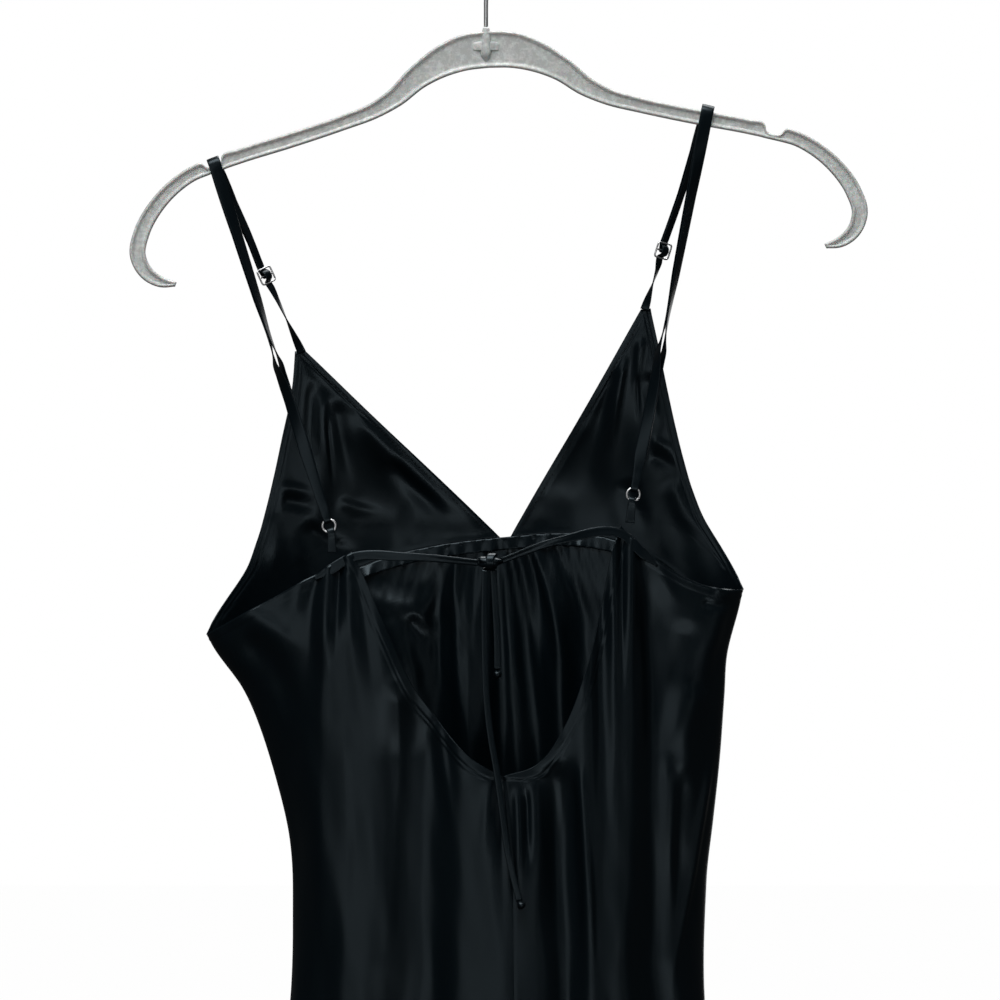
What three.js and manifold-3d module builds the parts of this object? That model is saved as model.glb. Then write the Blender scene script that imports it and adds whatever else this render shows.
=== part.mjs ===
// A black satin slip dress on a clear hanger. Its tied, open back looks towards -Y, its cups towards +Y.
// Millimetres, +Z up. The origin is the inside top of the hanger's hook, where a rail carries it.
// A "drop" is a distance below the origin. Left and right are those of somebody looking along +Y.

import * as THREE from 'three';
import { mergeVertices } from 'three/addons/utils/BufferGeometryUtils.js';
import Module from 'manifold-3d';

const wasm = await Module();
wasm.setup();

// Driving dimensions
const CLOTH = 1.5;
const SEAM_GAP = 0.3;
const HEM_DROP = 1250;
const BACK_TOP_DROP = 367;
const STRAP_WIDTH = 7.6;
const STRAP_THICKNESS = 1;
const STRAP_AT_RING = 4.4;
const STRAP_AT_SLIDER = 5;
const RING_RADIUS = 3.9;
const RING_WIRE = 0.6;
const RING_TURN = { out: 1.5, down: 2.1 };
const RING_TAB = { foot: 5.6, top: 4.8, part: 1.1, inset: 2, lift: 1.05 };
const SLIDER = { width: 12, bars: 9.2, bar: 1.1 };
const TIE_WIDTH = 6;
const TIE_END_WIDTH = 4;
const TIE_THICKNESS = 1.2;
const CLEARANCE = 0.5;
const HANGER = { tilt: 3.36, neckX: 1.2, neckDrop: 73.5, thickness: 5, web: 2.4, rim: 1.8 };
const HOOK = { wire: 1.3, radius: 17.3, shankTop: 43, boreDepth: 16 };

// Where the dress hangs and how it is cut, by drop. Half is half the width across, front and back are
// the depths of the two walls, centre is the middle of the width, and lean is the rise for each
// millimetre towards +X, because the hanger hangs crooked.
const LEVELS = table(['drop', 'half', 'front', 'back', 'centre', 'lean'], [
  [230, 160.2, 15, 12, -6.6, 0.123],
  [300, 160.2, 26, 20, -6.6, 0.112],
  [367, 160.2, 36, 28, -6.6, 0.1],
  [410, 160.2, 36, 32, -6.6, 0.084],
  [446, 145, 35, 34, -0.5, 0.074],
  [470, 139.2, 35, 35, 3.5, 0.065],
  [507, 132.4, 35, 36, 7.4, 0.051],
  [540, 127, 36, 37, 9.1, 0.042],
  [575, 123.8, 37, 38, 8.2, 0.03],
  [644, 124, 40, 40, 6.9, 0.012],
  [720, 134, 44, 44, 6, 0],
  [850, 158, 50, 50, 5, 0],
  [1000, 180, 55, 55, 5, 0],
  [1130, 196, 60, 60, 5, 0],
  [HEM_DROP, 208, 64, 64, 5, 0],
]);

// Soft folds that run down the cloth: where each lies at three drops, its half width and how far it
// stands out of the cloth. Below zero it is a trough. From is the drop where it starts.
const FOLD_DROPS = { top: 400, waist: 620, hem: HEM_DROP };
const FOLD_START = 55;
const FOLD_SPREAD = 1.3;
const BACK_FOLDS = table(['top', 'waist', 'hem', 'width', 'height', 'from'], [
  [-88, -94, -150, 24, 7, 366],
  [-48, -45, -80, 18, -9, 440],
  [14, 19, 8, 20, 4, 512],
  [40, 47, 56, 10, -5, 490],
  [60, 62, 92, 10, 6, 400],
  [86, 80, 136, 11, 6, 358],
  [102, 102, 166, 9, -5, 375],
  [130, 112, 190, 10, 4, 400],
]);
const FRONT_FOLDS = table(['top', 'waist', 'hem', 'width', 'height', 'from'], [
  [-78, -84, -140, 15, 5, 400],
  [-30, -34, -66, 11, 5, 372],
  [-8, -12, -26, 8, -5, 368],
  [9, 12, 14, 8, 5, 366],
  [26, 36, 56, 9, 5, 368],
  [40, 58, 92, 8, -5, 370],
  [58, 80, 130, 12, 5, 374],
  [104, 106, 176, 13, -4, 430],
]);

// The bust darts fill each cup out to the front
const BUST = { side: 62, drop: 345, wide: 30, tall: 44, fullness: 9 };

// The seam under the cups drops from the V towards the side seams
const V_POINT = { x: 11.7, drop: 367.5 };
const V_HALF = 3;
const UNDERBUST = { sideDrop: 450, bow: 3, gap: 0.6, sideGap: 1.6 };
const TIP_DROP = 410;
const APEX = { drop: 240.5, half: 2.9, left: -112, right: 96 };

// The armhole edge of a cup from the side tip to the apex, from the middle of the dress
const ARMHOLE = table(['out', 'drop'], [
  [160.2, TIP_DROP], [149, 398], [138, 383], [131, 365], [126, 345], [121, 321], [116.5, 297], [110, 262],
]);

// The opening in the back, from its top corner to its lowest point, along each side
const KEYHOLE_LEFT = table(['x', 'drop'], [
  [-80, BACK_TOP_DROP], [-76.5, 374], [-59.4, 416], [-38.4, 461], [-21, 484], [-7, 498.5], [10, 508.7],
]);
const KEYHOLE_RIGHT = table(['x', 'drop'], [
  [80, BACK_TOP_DROP], [77.6, 374], [70.2, 406], [59.4, 450], [46.8, 481.6], [29, 503.5], [10, 508.7],
]);
const CENTRE_SEAM = table(['drop', 'x'], [[508.7, 10], [566, 16], [644, 16.5], [HEM_DROP, 8]]);
const BACK_TOP_SAG = { left: 1, right: 11 };
const KEYHOLE_SIDE_DROP = 545;

// Where the straps lie over the hanger, and how they twist on their way down. Along runs from 0 on the
// hanger to 1 at the strand's end. Part is half the distance between the two layers.
const LAYER = (STRAP_THICKNESS + SEAM_GAP) / 2;
const STRAPS = [
  { side: 'left', seatX: -162.4, seatDrop: 142.2, slope: 20.9, curl: 0.54, slider: 0.6 },
  { side: 'right', seatX: 132.4, seatDrop: 110.9, slope: -13.5, curl: 0.61, slider: 0.71 },
];
const BACK_TWIST = table(['along', 'twist', 'width', 'part'], [
  [0.04, 8, STRAP_WIDTH, LAYER], [0.36, 46, STRAP_WIDTH, LAYER], [0.7, 62, STRAP_WIDTH, LAYER],
  [0.94, 84, STRAP_WIDTH, LAYER], [1, 96, STRAP_WIDTH, 1.3], [1.04, 110, STRAP_WIDTH, 1.9],
  [1.1, 126, STRAP_WIDTH, 1.2], [1.16, 140, STRAP_WIDTH, LAYER], [1.5, 172, STRAP_WIDTH, LAYER],
]);
const BACK_LAST = { share: 0.95, twist: 180, width: 5.6 };
const FRONT_TWIST = table(['along', 'twist', 'width', 'part'], [
  [0.05, 8, STRAP_WIDTH, LAYER], [0.2, 38, STRAP_WIDTH, LAYER], [0.42, 48, 6.4, LAYER],
]);
const SLIDER_TWIST = 40;
const APEX_TWIST = table(['along', 'twist', 'width'], [
  [0.35, 66, 5.4], [0.6, 92, 6], [0.8, 124, 6], [1, 158, 5.6],
]);

// The strap's way through the slider, in a side view: up along the strap and out towards its face
const SLIDER_LOOP = table(['up', 'out'], [
  [0.7, 1.28], [0, 1.5], [-1.1, 1.1], [-1.5, 0], [-1.1, -1.1], [0, -1.5], [2.5, -2.4], [4.6, -3],
  [7.6, -2.5],
]);
const SLIDER_WEAVE = table(['up', 'out'], [
  [7.6, -1.2], [4.6, -1.65], [3.45, -1.3], [3.05, -0.3], [2.75, 1.05], [1.8, 2.25], [0, 2.95],
  [-1.8, 2.25], [-2.75, 1.05], [-3.05, -0.3], [-3.45, -1.3], [-4.6, -1.65], [-7.6, -0.7],
]);

// Rings, and the ties' routes
const RINGS = [{ side: 'left', x: -93.6, drop: 359.2 }, { side: 'right', x: 87.9, drop: 340.5 }];
const KNOT = { x: 2.4, y: -38, drop: 380.5, wide: 7.5, deep: 4.5, tall: 5 };
const KNOT_TURNS = { count: 3, depth: 0.08, slant: 2 };
const END_KNOT_RADIUS = 2.7;
const TIE_SLANT = 0.6;
const TIE_EDGE_ROUNDING = 0.6;
const TIES = [
  { side: 'left', start: -90, corner: -82, middle: [-48, -33, 377.6] },
  { side: 'right', start: 90, corner: 82, middle: [44.4, -33, 367.8] },
];
const TIE_ENDS = [
  {
    name: 'short', knot: [6.8, -37.5, 447.5],
    route: [[4.4, -37.5, 385.1], [5.6, -37.5, 406], [6.6, -37.5, 426], [6.8, -37.5, 444.6]],
  },
  {
    name: 'long', knot: [21, -48, 584],
    route: [
      [-0.4, -39.3, 385.3], [-0.9, -41, 410], [-0.6, -42, 436], [0.4, -43, 462], [3, -44, 485],
      [6.6, -45.5, 506], [9.6, -47, 528], [12.6, -48, 550], [16.4, -48, 568], [19.9, -48, 581.4],
    ],
  },
];

// The lower edge of one half of the hanger, from its middle to its tip: distance out, fall, and the
// height of the arm above that edge. The dip in height is the notch for a strap.
const ARM = table(['out', 'fall', 'height'], [
  [0, 11, 22], [13.1, 11.8, 21.5], [23, 13.9, 19.5], [38.8, 20.2, 15], [53.6, 30.2, 12], [68.1, 37, 10],
  [88.8, 43.3, 9], [120.9, 52, 9], [151.8, 59.6, 8.8], [160.4, 62, 8.6], [162.4, 62.7, 4.8],
  [171.2, 65.3, 4.8], [173.4, 66, 8.6], [178.2, 67.6, 8.8], [189.3, 74.2, 9], [200.4, 84.9, 9.3],
  [209.6, 100, 9.7], [212.2, 110.7, 9.6], [209.1, 119.1, 8.6], [203.5, 124.3, 7], [194.7, 128.3, 3],
]);
const ARM_STRAIGHT = { from: 6, to: 13 };
const ROW_CROWD = { front: 1.35, back: 1.25 };
const COLUMN_CROWD = 0.3;
const NORMAL_STEP = 0.006;
const BOSS = table(['radius', 'drop'], [[1.9, 60.6], [2.4, 62.6], [3, 66], [3.4, 70], [3, 78], [1.2, 81]]);
const BOSS_SIDES = 14;
const NECK_FLARE = table(['radius', 'drop'], [[3, 65.4], [4.6, 68], [9, 70], [9, 74]]);

function table(columns, rows) {
  return rows.map((row) => Object.fromEntries(columns.map((name, i) => [name, row[i]])));
}

function lerp(a, b, t) {
  return a + (b - a) * t;
}

function clamp01(t) {
  return Math.min(1, Math.max(0, t));
}

// A straight run between the rows of a table, by the column "by"
function between(rows, by, at, column) {
  let i = rows.findIndex((row) => row[by] > at) - 1;
  if (i === -2) i = rows.length - 2;
  i = Math.max(0, i);
  const t = clamp01((at - rows[i][by]) / (rows[i + 1][by] - rows[i][by]));
  return lerp(rows[i][column], rows[i + 1][column], t);
}

// A smooth run through the rows of LEVELS: a cubic with the slopes of its neighbours
function level(drop) {
  const last = LEVELS.length - 1;
  let i = LEVELS.findIndex((row) => row.drop > drop) - 1;
  if (i < 0) i = drop < LEVELS[0].drop ? 0 : last - 1;
  const span = LEVELS[i + 1].drop - LEVELS[i].drop;
  const t = clamp01((drop - LEVELS[i].drop) / span);
  const found = {};
  for (const name of ['half', 'front', 'back', 'centre', 'lean']) {
    const slope = (k) => {
      const low = Math.max(0, k - 1);
      const high = Math.min(last, k + 1);
      return ((LEVELS[high][name] - LEVELS[low][name]) / (LEVELS[high].drop - LEVELS[low].drop)) * span;
    };
    const [a, b] = [LEVELS[i][name], LEVELS[i + 1][name]];
    const [p, q] = [slope(i), slope(i + 1)];
    found[name] = a + t * (p + t * (3 * (b - a) - 2 * p - q + t * (2 * (a - b) + p + q)));
  }
  return found;
}

// How far the folds lift the cloth at a place
function foldLift(folds, x, drop) {
  const { top, waist, hem } = FOLD_DROPS;
  const lower = clamp01((drop - waist) / (hem - waist));
  let lift = 0;
  for (const fold of folds) {
    const middle = drop < waist
      ? lerp(fold.top, fold.waist, (drop - top) / (waist - top))
      : lerp(fold.waist, fold.hem, lower);
    const width = fold.width * (1 + FOLD_SPREAD * lower);
    const grown = THREE.MathUtils.smoothstep(drop, fold.from, fold.from + FOLD_START);
    lift += grown * fold.height * (1 + lower) * Math.exp(-(((x - middle) / width) ** 2));
  }
  return lift;
}

function bustLift(x, centre, drop) {
  const across = (Math.abs(x - centre) - BUST.side) / BUST.wide;
  const down = (drop - BUST.drop) / BUST.tall;
  return BUST.fullness * Math.exp(-(across ** 2) - down ** 2);
}

// The outer face of the dress: phi turns from the left side seam (-90 degrees) to the right one (90).
// Front is 1 for the front wall and -1 for the back wall.
function bodyPoint(front, phi, drop) {
  const cut = level(drop);
  const x = cut.centre + cut.half * Math.sin(phi);
  const lift = front > 0
    ? foldLift(FRONT_FOLDS, x, drop) + bustLift(x, cut.centre, drop)
    : foldLift(BACK_FOLDS, x, drop);
  const depth = (front > 0 ? cut.front : cut.back) + lift;
  const y = front * (SEAM_GAP / 2 + depth * Math.cos(phi));
  return new THREE.Vector3(x, y, cut.lean * x - drop);
}

// The level direction out of the cloth
function bodyNormal(front, phi, drop) {
  const limit = Math.PI / 2;
  if (Math.abs(phi) > limit - 1e-4) return new THREE.Vector3(Math.sign(phi), 0, 0);
  const along = bodyPoint(front, Math.min(limit, phi + NORMAL_STEP), drop)
    .sub(bodyPoint(front, Math.max(-limit, phi - NORMAL_STEP), drop));
  return new THREE.Vector3(-front * along.y, front * along.x, 0).normalize();
}

function angleAt(x, drop) {
  const cut = level(drop);
  return Math.asin(THREE.MathUtils.clamp((x - cut.centre) / cut.half, -1, 1));
}

// A closed body from a list of points and triangles, turned so that its faces point out
function closedBody(points, triangles) {
  let volume = 0;
  for (const [a, b, c] of triangles) {
    volume += points[a].dot(new THREE.Vector3().crossVectors(points[b], points[c]));
  }
  const index = triangles.flatMap(([a, b, c]) => (volume < 0 ? [a, c, b] : [a, b, c]));
  const geometry = new THREE.BufferGeometry().setFromPoints(points);
  geometry.setIndex(index);
  geometry.computeVertexNormals();
  return geometry;
}

// A wall of cloth: placeAt(u, v) gives front, phi and drop of a point of the outer face
function clothWall(placeAt, columns, rows) {
  const outer = [];
  const inner = [];
  for (let j = 0; j <= rows; j += 1) {
    for (let i = 0; i <= columns; i += 1) {
      const { front, phi, drop } = placeAt(i / columns, j / rows);
      const point = bodyPoint(front, phi, drop);
      outer.push(point);
      inner.push(point.clone().addScaledVector(bodyNormal(front, phi, drop), -CLOTH));
    }
  }
  const wide = columns + 1;
  const shift = outer.length;
  const triangles = [];
  const quad = (a, b, c, d) => triangles.push([a, b, c], [a, c, d]);
  for (let j = 0; j < rows; j += 1) {
    for (let i = 0; i < columns; i += 1) {
      const a = j * wide + i;
      quad(a, a + 1, a + wide + 1, a + wide);
      quad(shift + a, shift + a + wide, shift + a + wide + 1, shift + a + 1);
    }
  }
  const rim = (a, b) => quad(b, a, shift + a, shift + b);
  for (let i = 0; i < columns; i += 1) {
    rim(i, i + 1);
    rim(rows * wide + i + 1, rows * wide + i);
  }
  for (let j = 0; j < rows; j += 1) {
    rim((j + 1) * wide, j * wide);
    rim(j * wide + columns, (j + 1) * wide + columns);
  }
  return closedBody([...outer, ...inner], triangles);
}

// Columns lie close where the folds are and still go round the side seam
function crowd(from, to, u) {
  const even = lerp(from, to, u);
  const flat = Math.asin(lerp(Math.sin(from), Math.sin(to), u));
  return lerp(even, flat, COLUMN_CROWD);
}

// The seam under the cups, by the sine of phi. Its gap opens where it runs steeply, near the side.
function underbust(sine) {
  const middle = (V_POINT.x - level(V_POINT.drop).centre) / level(V_POINT.drop).half;
  const share = (sine - middle) / (Math.sign(sine - middle) - middle || 1);
  const steep = share ** (UNDERBUST.bow - 1);
  return {
    drop: lerp(V_POINT.drop, UNDERBUST.sideDrop, share * steep),
    halfGap: lerp(UNDERBUST.gap, UNDERBUST.sideGap, steep) / 2,
  };
}

function spline(rows, x, y) {
  return new THREE.SplineCurve(rows.map((row) => new THREE.Vector2(row[x], row[y])));
}

function frontSkirt() {
  const columns = 34;
  const rows = 22;
  return clothWall((u, v) => {
    const phi = crowd(-Math.PI / 2, Math.PI / 2, u);
    const seam = underbust(Math.sin(phi));
    return { front: 1, phi, drop: lerp(seam.drop + seam.halfGap, HEM_DROP, v ** ROW_CROWD.front) };
  }, columns, rows);
}

// A cup: its rows run from the V edge to the armhole, and gather from the seam up to the apex
function cup(side) {
  const sign = side === 'left' ? -1 : 1;
  const columns = 11;
  const rows = 12;
  const tipAt = 2 / rows;
  const inner = { x: V_POINT.x + sign * V_HALF, drop: V_POINT.drop };
  const apexInner = { x: APEX[side] - sign * APEX.half, drop: APEX.drop };
  const apexOuter = APEX[side] + sign * APEX.half;
  const middle = level(APEX.drop).centre;
  const armRows = [...ARMHOLE, { out: Math.abs(apexOuter - middle), drop: APEX.drop }];
  const armhole = spline(armRows, 'out', 'drop');
  const outerAt = (v) => {
    if (v <= tipAt) {
      const drop = lerp(UNDERBUST.sideDrop, TIP_DROP, v / tipAt);
      return { phi: (sign * Math.PI) / 2, drop };
    }
    const point = armhole.getPointAt((v - tipAt) / (1 - tipAt));
    return { phi: angleAt(middle + sign * point.x, point.y), drop: point.y };
  };
  return clothWall((u, v) => {
    const innerDrop = lerp(inner.drop, apexInner.drop, v);
    const from = angleAt(lerp(inner.x, apexInner.x, v), innerDrop);
    const to = outerAt(v);
    const phi = crowd(from, to.phi, u);
    const share = (Math.sin(phi) - Math.sin(from)) / (Math.sin(to.phi) - Math.sin(from));
    const straight = lerp(inner.drop, UNDERBUST.sideDrop, share);
    const seam = underbust(Math.sin(phi));
    const bowed = (seam.drop - seam.halfGap - straight) * (1 - v) ** 2;
    return { front: 1, phi, drop: lerp(innerDrop, to.drop, share) + bowed };
  }, columns, rows);
}

// A back panel: its rows run from the opening or the centre seam to the side seam
function backPanel(side) {
  const sign = side === 'left' ? -1 : 1;
  const columns = 18;
  const rows = 28;
  const lastKeyholeRow = 11 / rows;
  const keyhole = spline(side === 'left' ? KEYHOLE_LEFT : KEYHOLE_RIGHT, 'x', 'drop');
  const lowest = CENTRE_SEAM[0].drop;
  const edgeAt = (v) => {
    if (v <= lastKeyholeRow) {
      const point = keyhole.getPointAt(v / lastKeyholeRow);
      const ends = v === lastKeyholeRow ? (sign * SEAM_GAP) / 2 : 0;
      const outerDrop = lerp(TIP_DROP, KEYHOLE_SIDE_DROP, v / lastKeyholeRow);
      return { x: point.x + ends, drop: point.y, side: outerDrop };
    }
    const t = ((v - lastKeyholeRow) / (1 - lastKeyholeRow)) ** ROW_CROWD.back;
    const drop = lerp(lowest, HEM_DROP, t);
    const x = between(CENTRE_SEAM, 'drop', drop, 'x') + (sign * SEAM_GAP) / 2;
    return { x, drop, side: lerp(KEYHOLE_SIDE_DROP, HEM_DROP, t) };
  };
  return clothWall((u, v) => {
    const edge = edgeAt(v);
    const from = angleAt(edge.x, edge.drop);
    const to = (sign * Math.PI) / 2;
    const phi = crowd(from, to, u);
    const share = (Math.sin(phi) - Math.sin(from)) / (Math.sin(to) - Math.sin(from));
    const sag = 4 * share * (1 - share) * BACK_TOP_SAG[side] * clamp01(1 - v / lastKeyholeRow) ** 2;
    return { front: -1, phi, drop: lerp(edge.drop, edge.side, share) + sag };
  }, columns, rows);
}

// A body carried through closed loops of points, one after the other. Its ends are closed by triangles
// of the first loop's own outline.
function loft(loops, endTriangles) {
  const size = loops[0].length;
  const triangles = [];
  for (let j = 0; j + 1 < loops.length; j += 1) {
    for (let i = 0; i < size; i += 1) {
      const a = j * size + i;
      const b = j * size + ((i + 1) % size);
      triangles.push([a, b, b + size], [a, b + size, a + size]);
    }
  }
  const last = (loops.length - 1) * size;
  for (const [a, b, c] of endTriangles) {
    triangles.push([a, c, b], [last + a, last + b, last + c]);
  }
  return closedBody(loops.flat(), triangles);
}

// A flat ribbon through stations that each give a point, the direction of its width, and its width
function ribbon(stations, thickness) {
  const loops = stations.map((station, i) => {
    const before = stations[Math.max(0, i - 1)].point;
    const after = stations[Math.min(stations.length - 1, i + 1)].point;
    const along = after.clone().sub(before).normalize();
    const out = new THREE.Vector3().crossVectors(along, station.across).normalize();
    const across = new THREE.Vector3().crossVectors(out, along);
    const corner = (w, t) => station.point.clone()
      .addScaledVector(across, (w * station.width) / 2)
      .addScaledVector(out, (t * thickness) / 2);
    return [corner(-1, -1), corner(1, -1), corner(1, 1), corner(-1, 1)];
  });
  return loft(loops, [[0, 1, 2], [0, 2, 3]]);
}

// A point of the hanger's arm, turned with the hanger
function hangerPoint(out, y, below) {
  const turn = THREE.MathUtils.degToRad(HANGER.tilt);
  const x = out * Math.cos(turn) + below * Math.sin(turn);
  const z = out * Math.sin(turn) - below * Math.cos(turn);
  return new THREE.Vector3(HANGER.neckX + x, y, z - HANGER.neckDrop);
}

// The hanger's section is a web with a rim along each edge
function armSection(edge, up, height) {
  const half = height / 2;
  const middle = edge.clone().addScaledVector(up, -half);
  const inside = Math.max(half - HANGER.rim, half / 2);
  const thick = HANGER.thickness / 2;
  const thin = HANGER.web / 2;
  const outline = [
    [half, -thick], [half, thick], [inside, thick], [inside, thin], [-inside, thin], [-inside, thick],
    [-half, thick], [-half, -thick], [-inside, -thick], [-inside, -thin], [inside, -thin], [inside, -thick],
  ];
  return outline.map(([high, y]) => hangerPoint(middle.x - up.x * high, y, middle.y - up.y * high));
}

function hangerArms() {
  const course = spline(ARM, 'out', 'fall');
  const last = ARM.length - 1;
  const half = [];
  for (let row = 0; row <= last; row += 0.5) {
    const low = Math.floor(row);
    const curved = low < ARM_STRAIGHT.from || low >= ARM_STRAIGHT.to;
    if (row === low || curved) {
      const height = lerp(ARM[low].height, ARM[Math.min(last, low + 1)].height, row - low);
      const along = row === 0 ? new THREE.Vector2(1, 0) : course.getTangent(row / last);
      half.push({ edge: course.getPoint(row / last), up: new THREE.Vector2(-along.y, along.x), height });
    }
  }
  const mirrored = half.slice(1).reverse().map(({ edge, up, height }) => ({
    edge: new THREE.Vector2(-edge.x, edge.y), up: new THREE.Vector2(-up.x, up.y), height,
  }));
  const loops = [...mirrored, ...half].map(({ edge, up, height }) => armSection(edge, up, height));
  const ends = [[0, 1, 2], [0, 2, 11], [2, 3, 10], [2, 10, 11], [3, 4, 9], [3, 9, 10],
    [4, 5, 8], [4, 8, 9], [5, 6, 7], [5, 7, 8]];
  return loft(loops, ends);
}

function asManifold(geometry) {
  const merged = geometry.clone();
  merged.deleteAttribute('normal');
  merged.deleteAttribute('uv');
  const welded = mergeVertices(merged);
  return new wasm.Manifold(new wasm.Mesh({
    numProp: 3, vertProperties: welded.attributes.position.array, triVerts: welded.index.array,
  }));
}

function asGeometry(solid) {
  const { vertProperties, triVerts } = solid.getMesh();
  const geometry = new THREE.BufferGeometry();
  geometry.setAttribute('position', new THREE.BufferAttribute(vertProperties, 3));
  geometry.setIndex(new THREE.BufferAttribute(triVerts, 1));
  geometry.computeVertexNormals();
  return geometry;
}

// A body turned about the hook's shank, from a profile of radii by drop
function turnedBody(rows) {
  const profile = rows.map(({ radius, drop }) => new THREE.Vector2(radius, -drop));
  profile.unshift(new THREE.Vector2(0, -rows[0].drop));
  profile.push(new THREE.Vector2(0, -rows.at(-1).drop));
  const body = new THREE.LatheGeometry(profile.reverse(), BOSS_SIDES);
  return body.rotateX(Math.PI / 2);
}

// The arms with the small neck that holds the hook, and the blind bore for its shank
function hangerBody() {
  const boss = turnedBody(BOSS);
  const flare = turnedBody(NECK_FLARE);
  flare.scale(1, HANGER.thickness / (2 * NECK_FLARE.at(-1).radius), 1);
  const boreRadius = HOOK.wire + SEAM_GAP;
  const bore = new THREE.CylinderGeometry(boreRadius, boreRadius, 2 * HOOK.boreDepth, BOSS_SIDES);
  bore.rotateX(Math.PI / 2);
  bore.translate(0, 0, -BOSS[0].drop);
  const solid = asManifold(hangerArms()).add(asManifold(boss)).add(asManifold(flare));
  return asGeometry(solid.subtract(asManifold(bore)));
}

// The wire of the hook: up out of the neck, then round over the rail
function hangerHook() {
  const middle = HOOK.wire - HOOK.radius;
  const path = new THREE.CurvePath();
  const foot = new THREE.Vector3(0, 0, SEAM_GAP - BOSS[0].drop - HOOK.boreDepth);
  const shank = new THREE.Vector3(0, 0, -HOOK.shankTop);
  const turned = (degrees) => {
    const angle = THREE.MathUtils.degToRad(degrees);
    return new THREE.Vector3(HOOK.radius * Math.cos(angle), 0, middle + HOOK.radius * Math.sin(angle));
  };
  path.add(new THREE.LineCurve3(foot, shank));
  const leave = turned(232);
  path.add(new THREE.CubicBezierCurve3(shank, new THREE.Vector3(0, 0, -HOOK.shankTop + 6),
    leave.clone().add(new THREE.Vector3(5, 0, -4)), leave));
  const points = path.getSpacedPoints(12);
  for (let degrees = 220; degrees >= -36; degrees -= 12) points.push(turned(degrees));
  const route = new THREE.CatmullRomCurve3(points);
  const section = new THREE.Shape().absarc(0, 0, HOOK.wire, 0, 2 * Math.PI);
  return new THREE.ExtrudeGeometry(section, { steps: 34, extrudePath: route, curveSegments: 4 });
}

// The frame of a strand: its width direction is turned by the twist about the strand
function acrossAt(slope, along, twist) {
  const lean = THREE.MathUtils.degToRad(slope);
  const turn = THREE.MathUtils.degToRad(twist);
  const flat = new THREE.Vector3(Math.cos(lean), 0, Math.sin(lean)).multiplyScalar(Math.cos(turn));
  flat.y = Math.sin(turn);
  return flat.addScaledVector(along, -flat.dot(along)).normalize();
}

function panelTop(x) {
  return bodyPoint(-1, angleAt(x, BACK_TOP_DROP), BACK_TOP_DROP);
}

// The places of one strap: over the hanger, at the ring and at the cup
function strapPlaces(strap) {
  const ring = RINGS.find((one) => one.side === strap.side);
  const radius = HANGER.thickness / 2 + CLEARANCE + STRAP_THICKNESS + SEAM_GAP / 2;
  const seat = new THREE.Vector3(strap.seatX, 0, -strap.seatDrop - 1);
  const ringCentre = new THREE.Vector3(ring.x, panelTop(ring.x).y + CLOTH / 2, -ring.drop);
  const apexPhi = angleAt(APEX[strap.side], APEX.drop);
  const apex = bodyPoint(1, apexPhi, APEX.drop);
  apex.y -= CLOTH / 2;
  apex.z += 5 * SEAM_GAP;
  const backTop = seat.clone().add(new THREE.Vector3(0, -radius, 0));
  const frontTop = seat.clone().add(new THREE.Vector3(0, radius, 0));
  const down = ringCentre.clone().sub(backTop).normalize();
  const ringTop = ringCentre.clone().addScaledVector(down, -RING_RADIUS);
  return { radius, seat, ringCentre, ringTop, down, apex, backTop, frontTop };
}

// Stations of the doubled strap, from above the slider over the hanger to the ring
function doubledStations(strap, places) {
  const { seat, radius, backTop, frontTop, ringTop, down, apex } = places;
  const stations = [];
  const up = frontTop.clone().sub(apex).normalize();
  const add = (point, along, twist, width, part) => {
    const across = acrossAt(strap.slope, along, twist);
    const out = new THREE.Vector3().crossVectors(along, across).normalize();
    stations.push({ point, across, out, width, part });
  };
  for (const row of [...FRONT_TWIST].reverse()) {
    add(frontTop.clone().lerp(apex, row.along), up, row.twist, row.width, row.part);
  }
  const lean = THREE.MathUtils.degToRad(strap.slope);
  const rise = new THREE.Vector3(-Math.sin(lean), 0, Math.cos(lean));
  for (let degrees = 0; degrees <= 180; degrees += 30) {
    const angle = THREE.MathUtils.degToRad(degrees);
    const point = seat.clone().addScaledVector(rise, radius * Math.sin(angle));
    point.y = radius * Math.cos(angle);
    const along = rise.clone().multiplyScalar(Math.cos(angle));
    along.y = -Math.sin(angle);
    add(point, along, 0, STRAP_WIDTH, LAYER);
  }
  for (const row of BACK_TWIST) {
    const share = row.along * strap.curl;
    add(backTop.clone().lerp(ringTop, share), down, row.twist, row.width, row.part);
  }
  add(backTop.clone().lerp(ringTop, BACK_LAST.share), down, BACK_LAST.twist, BACK_LAST.width, LAYER);
  return stations;
}

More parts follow.
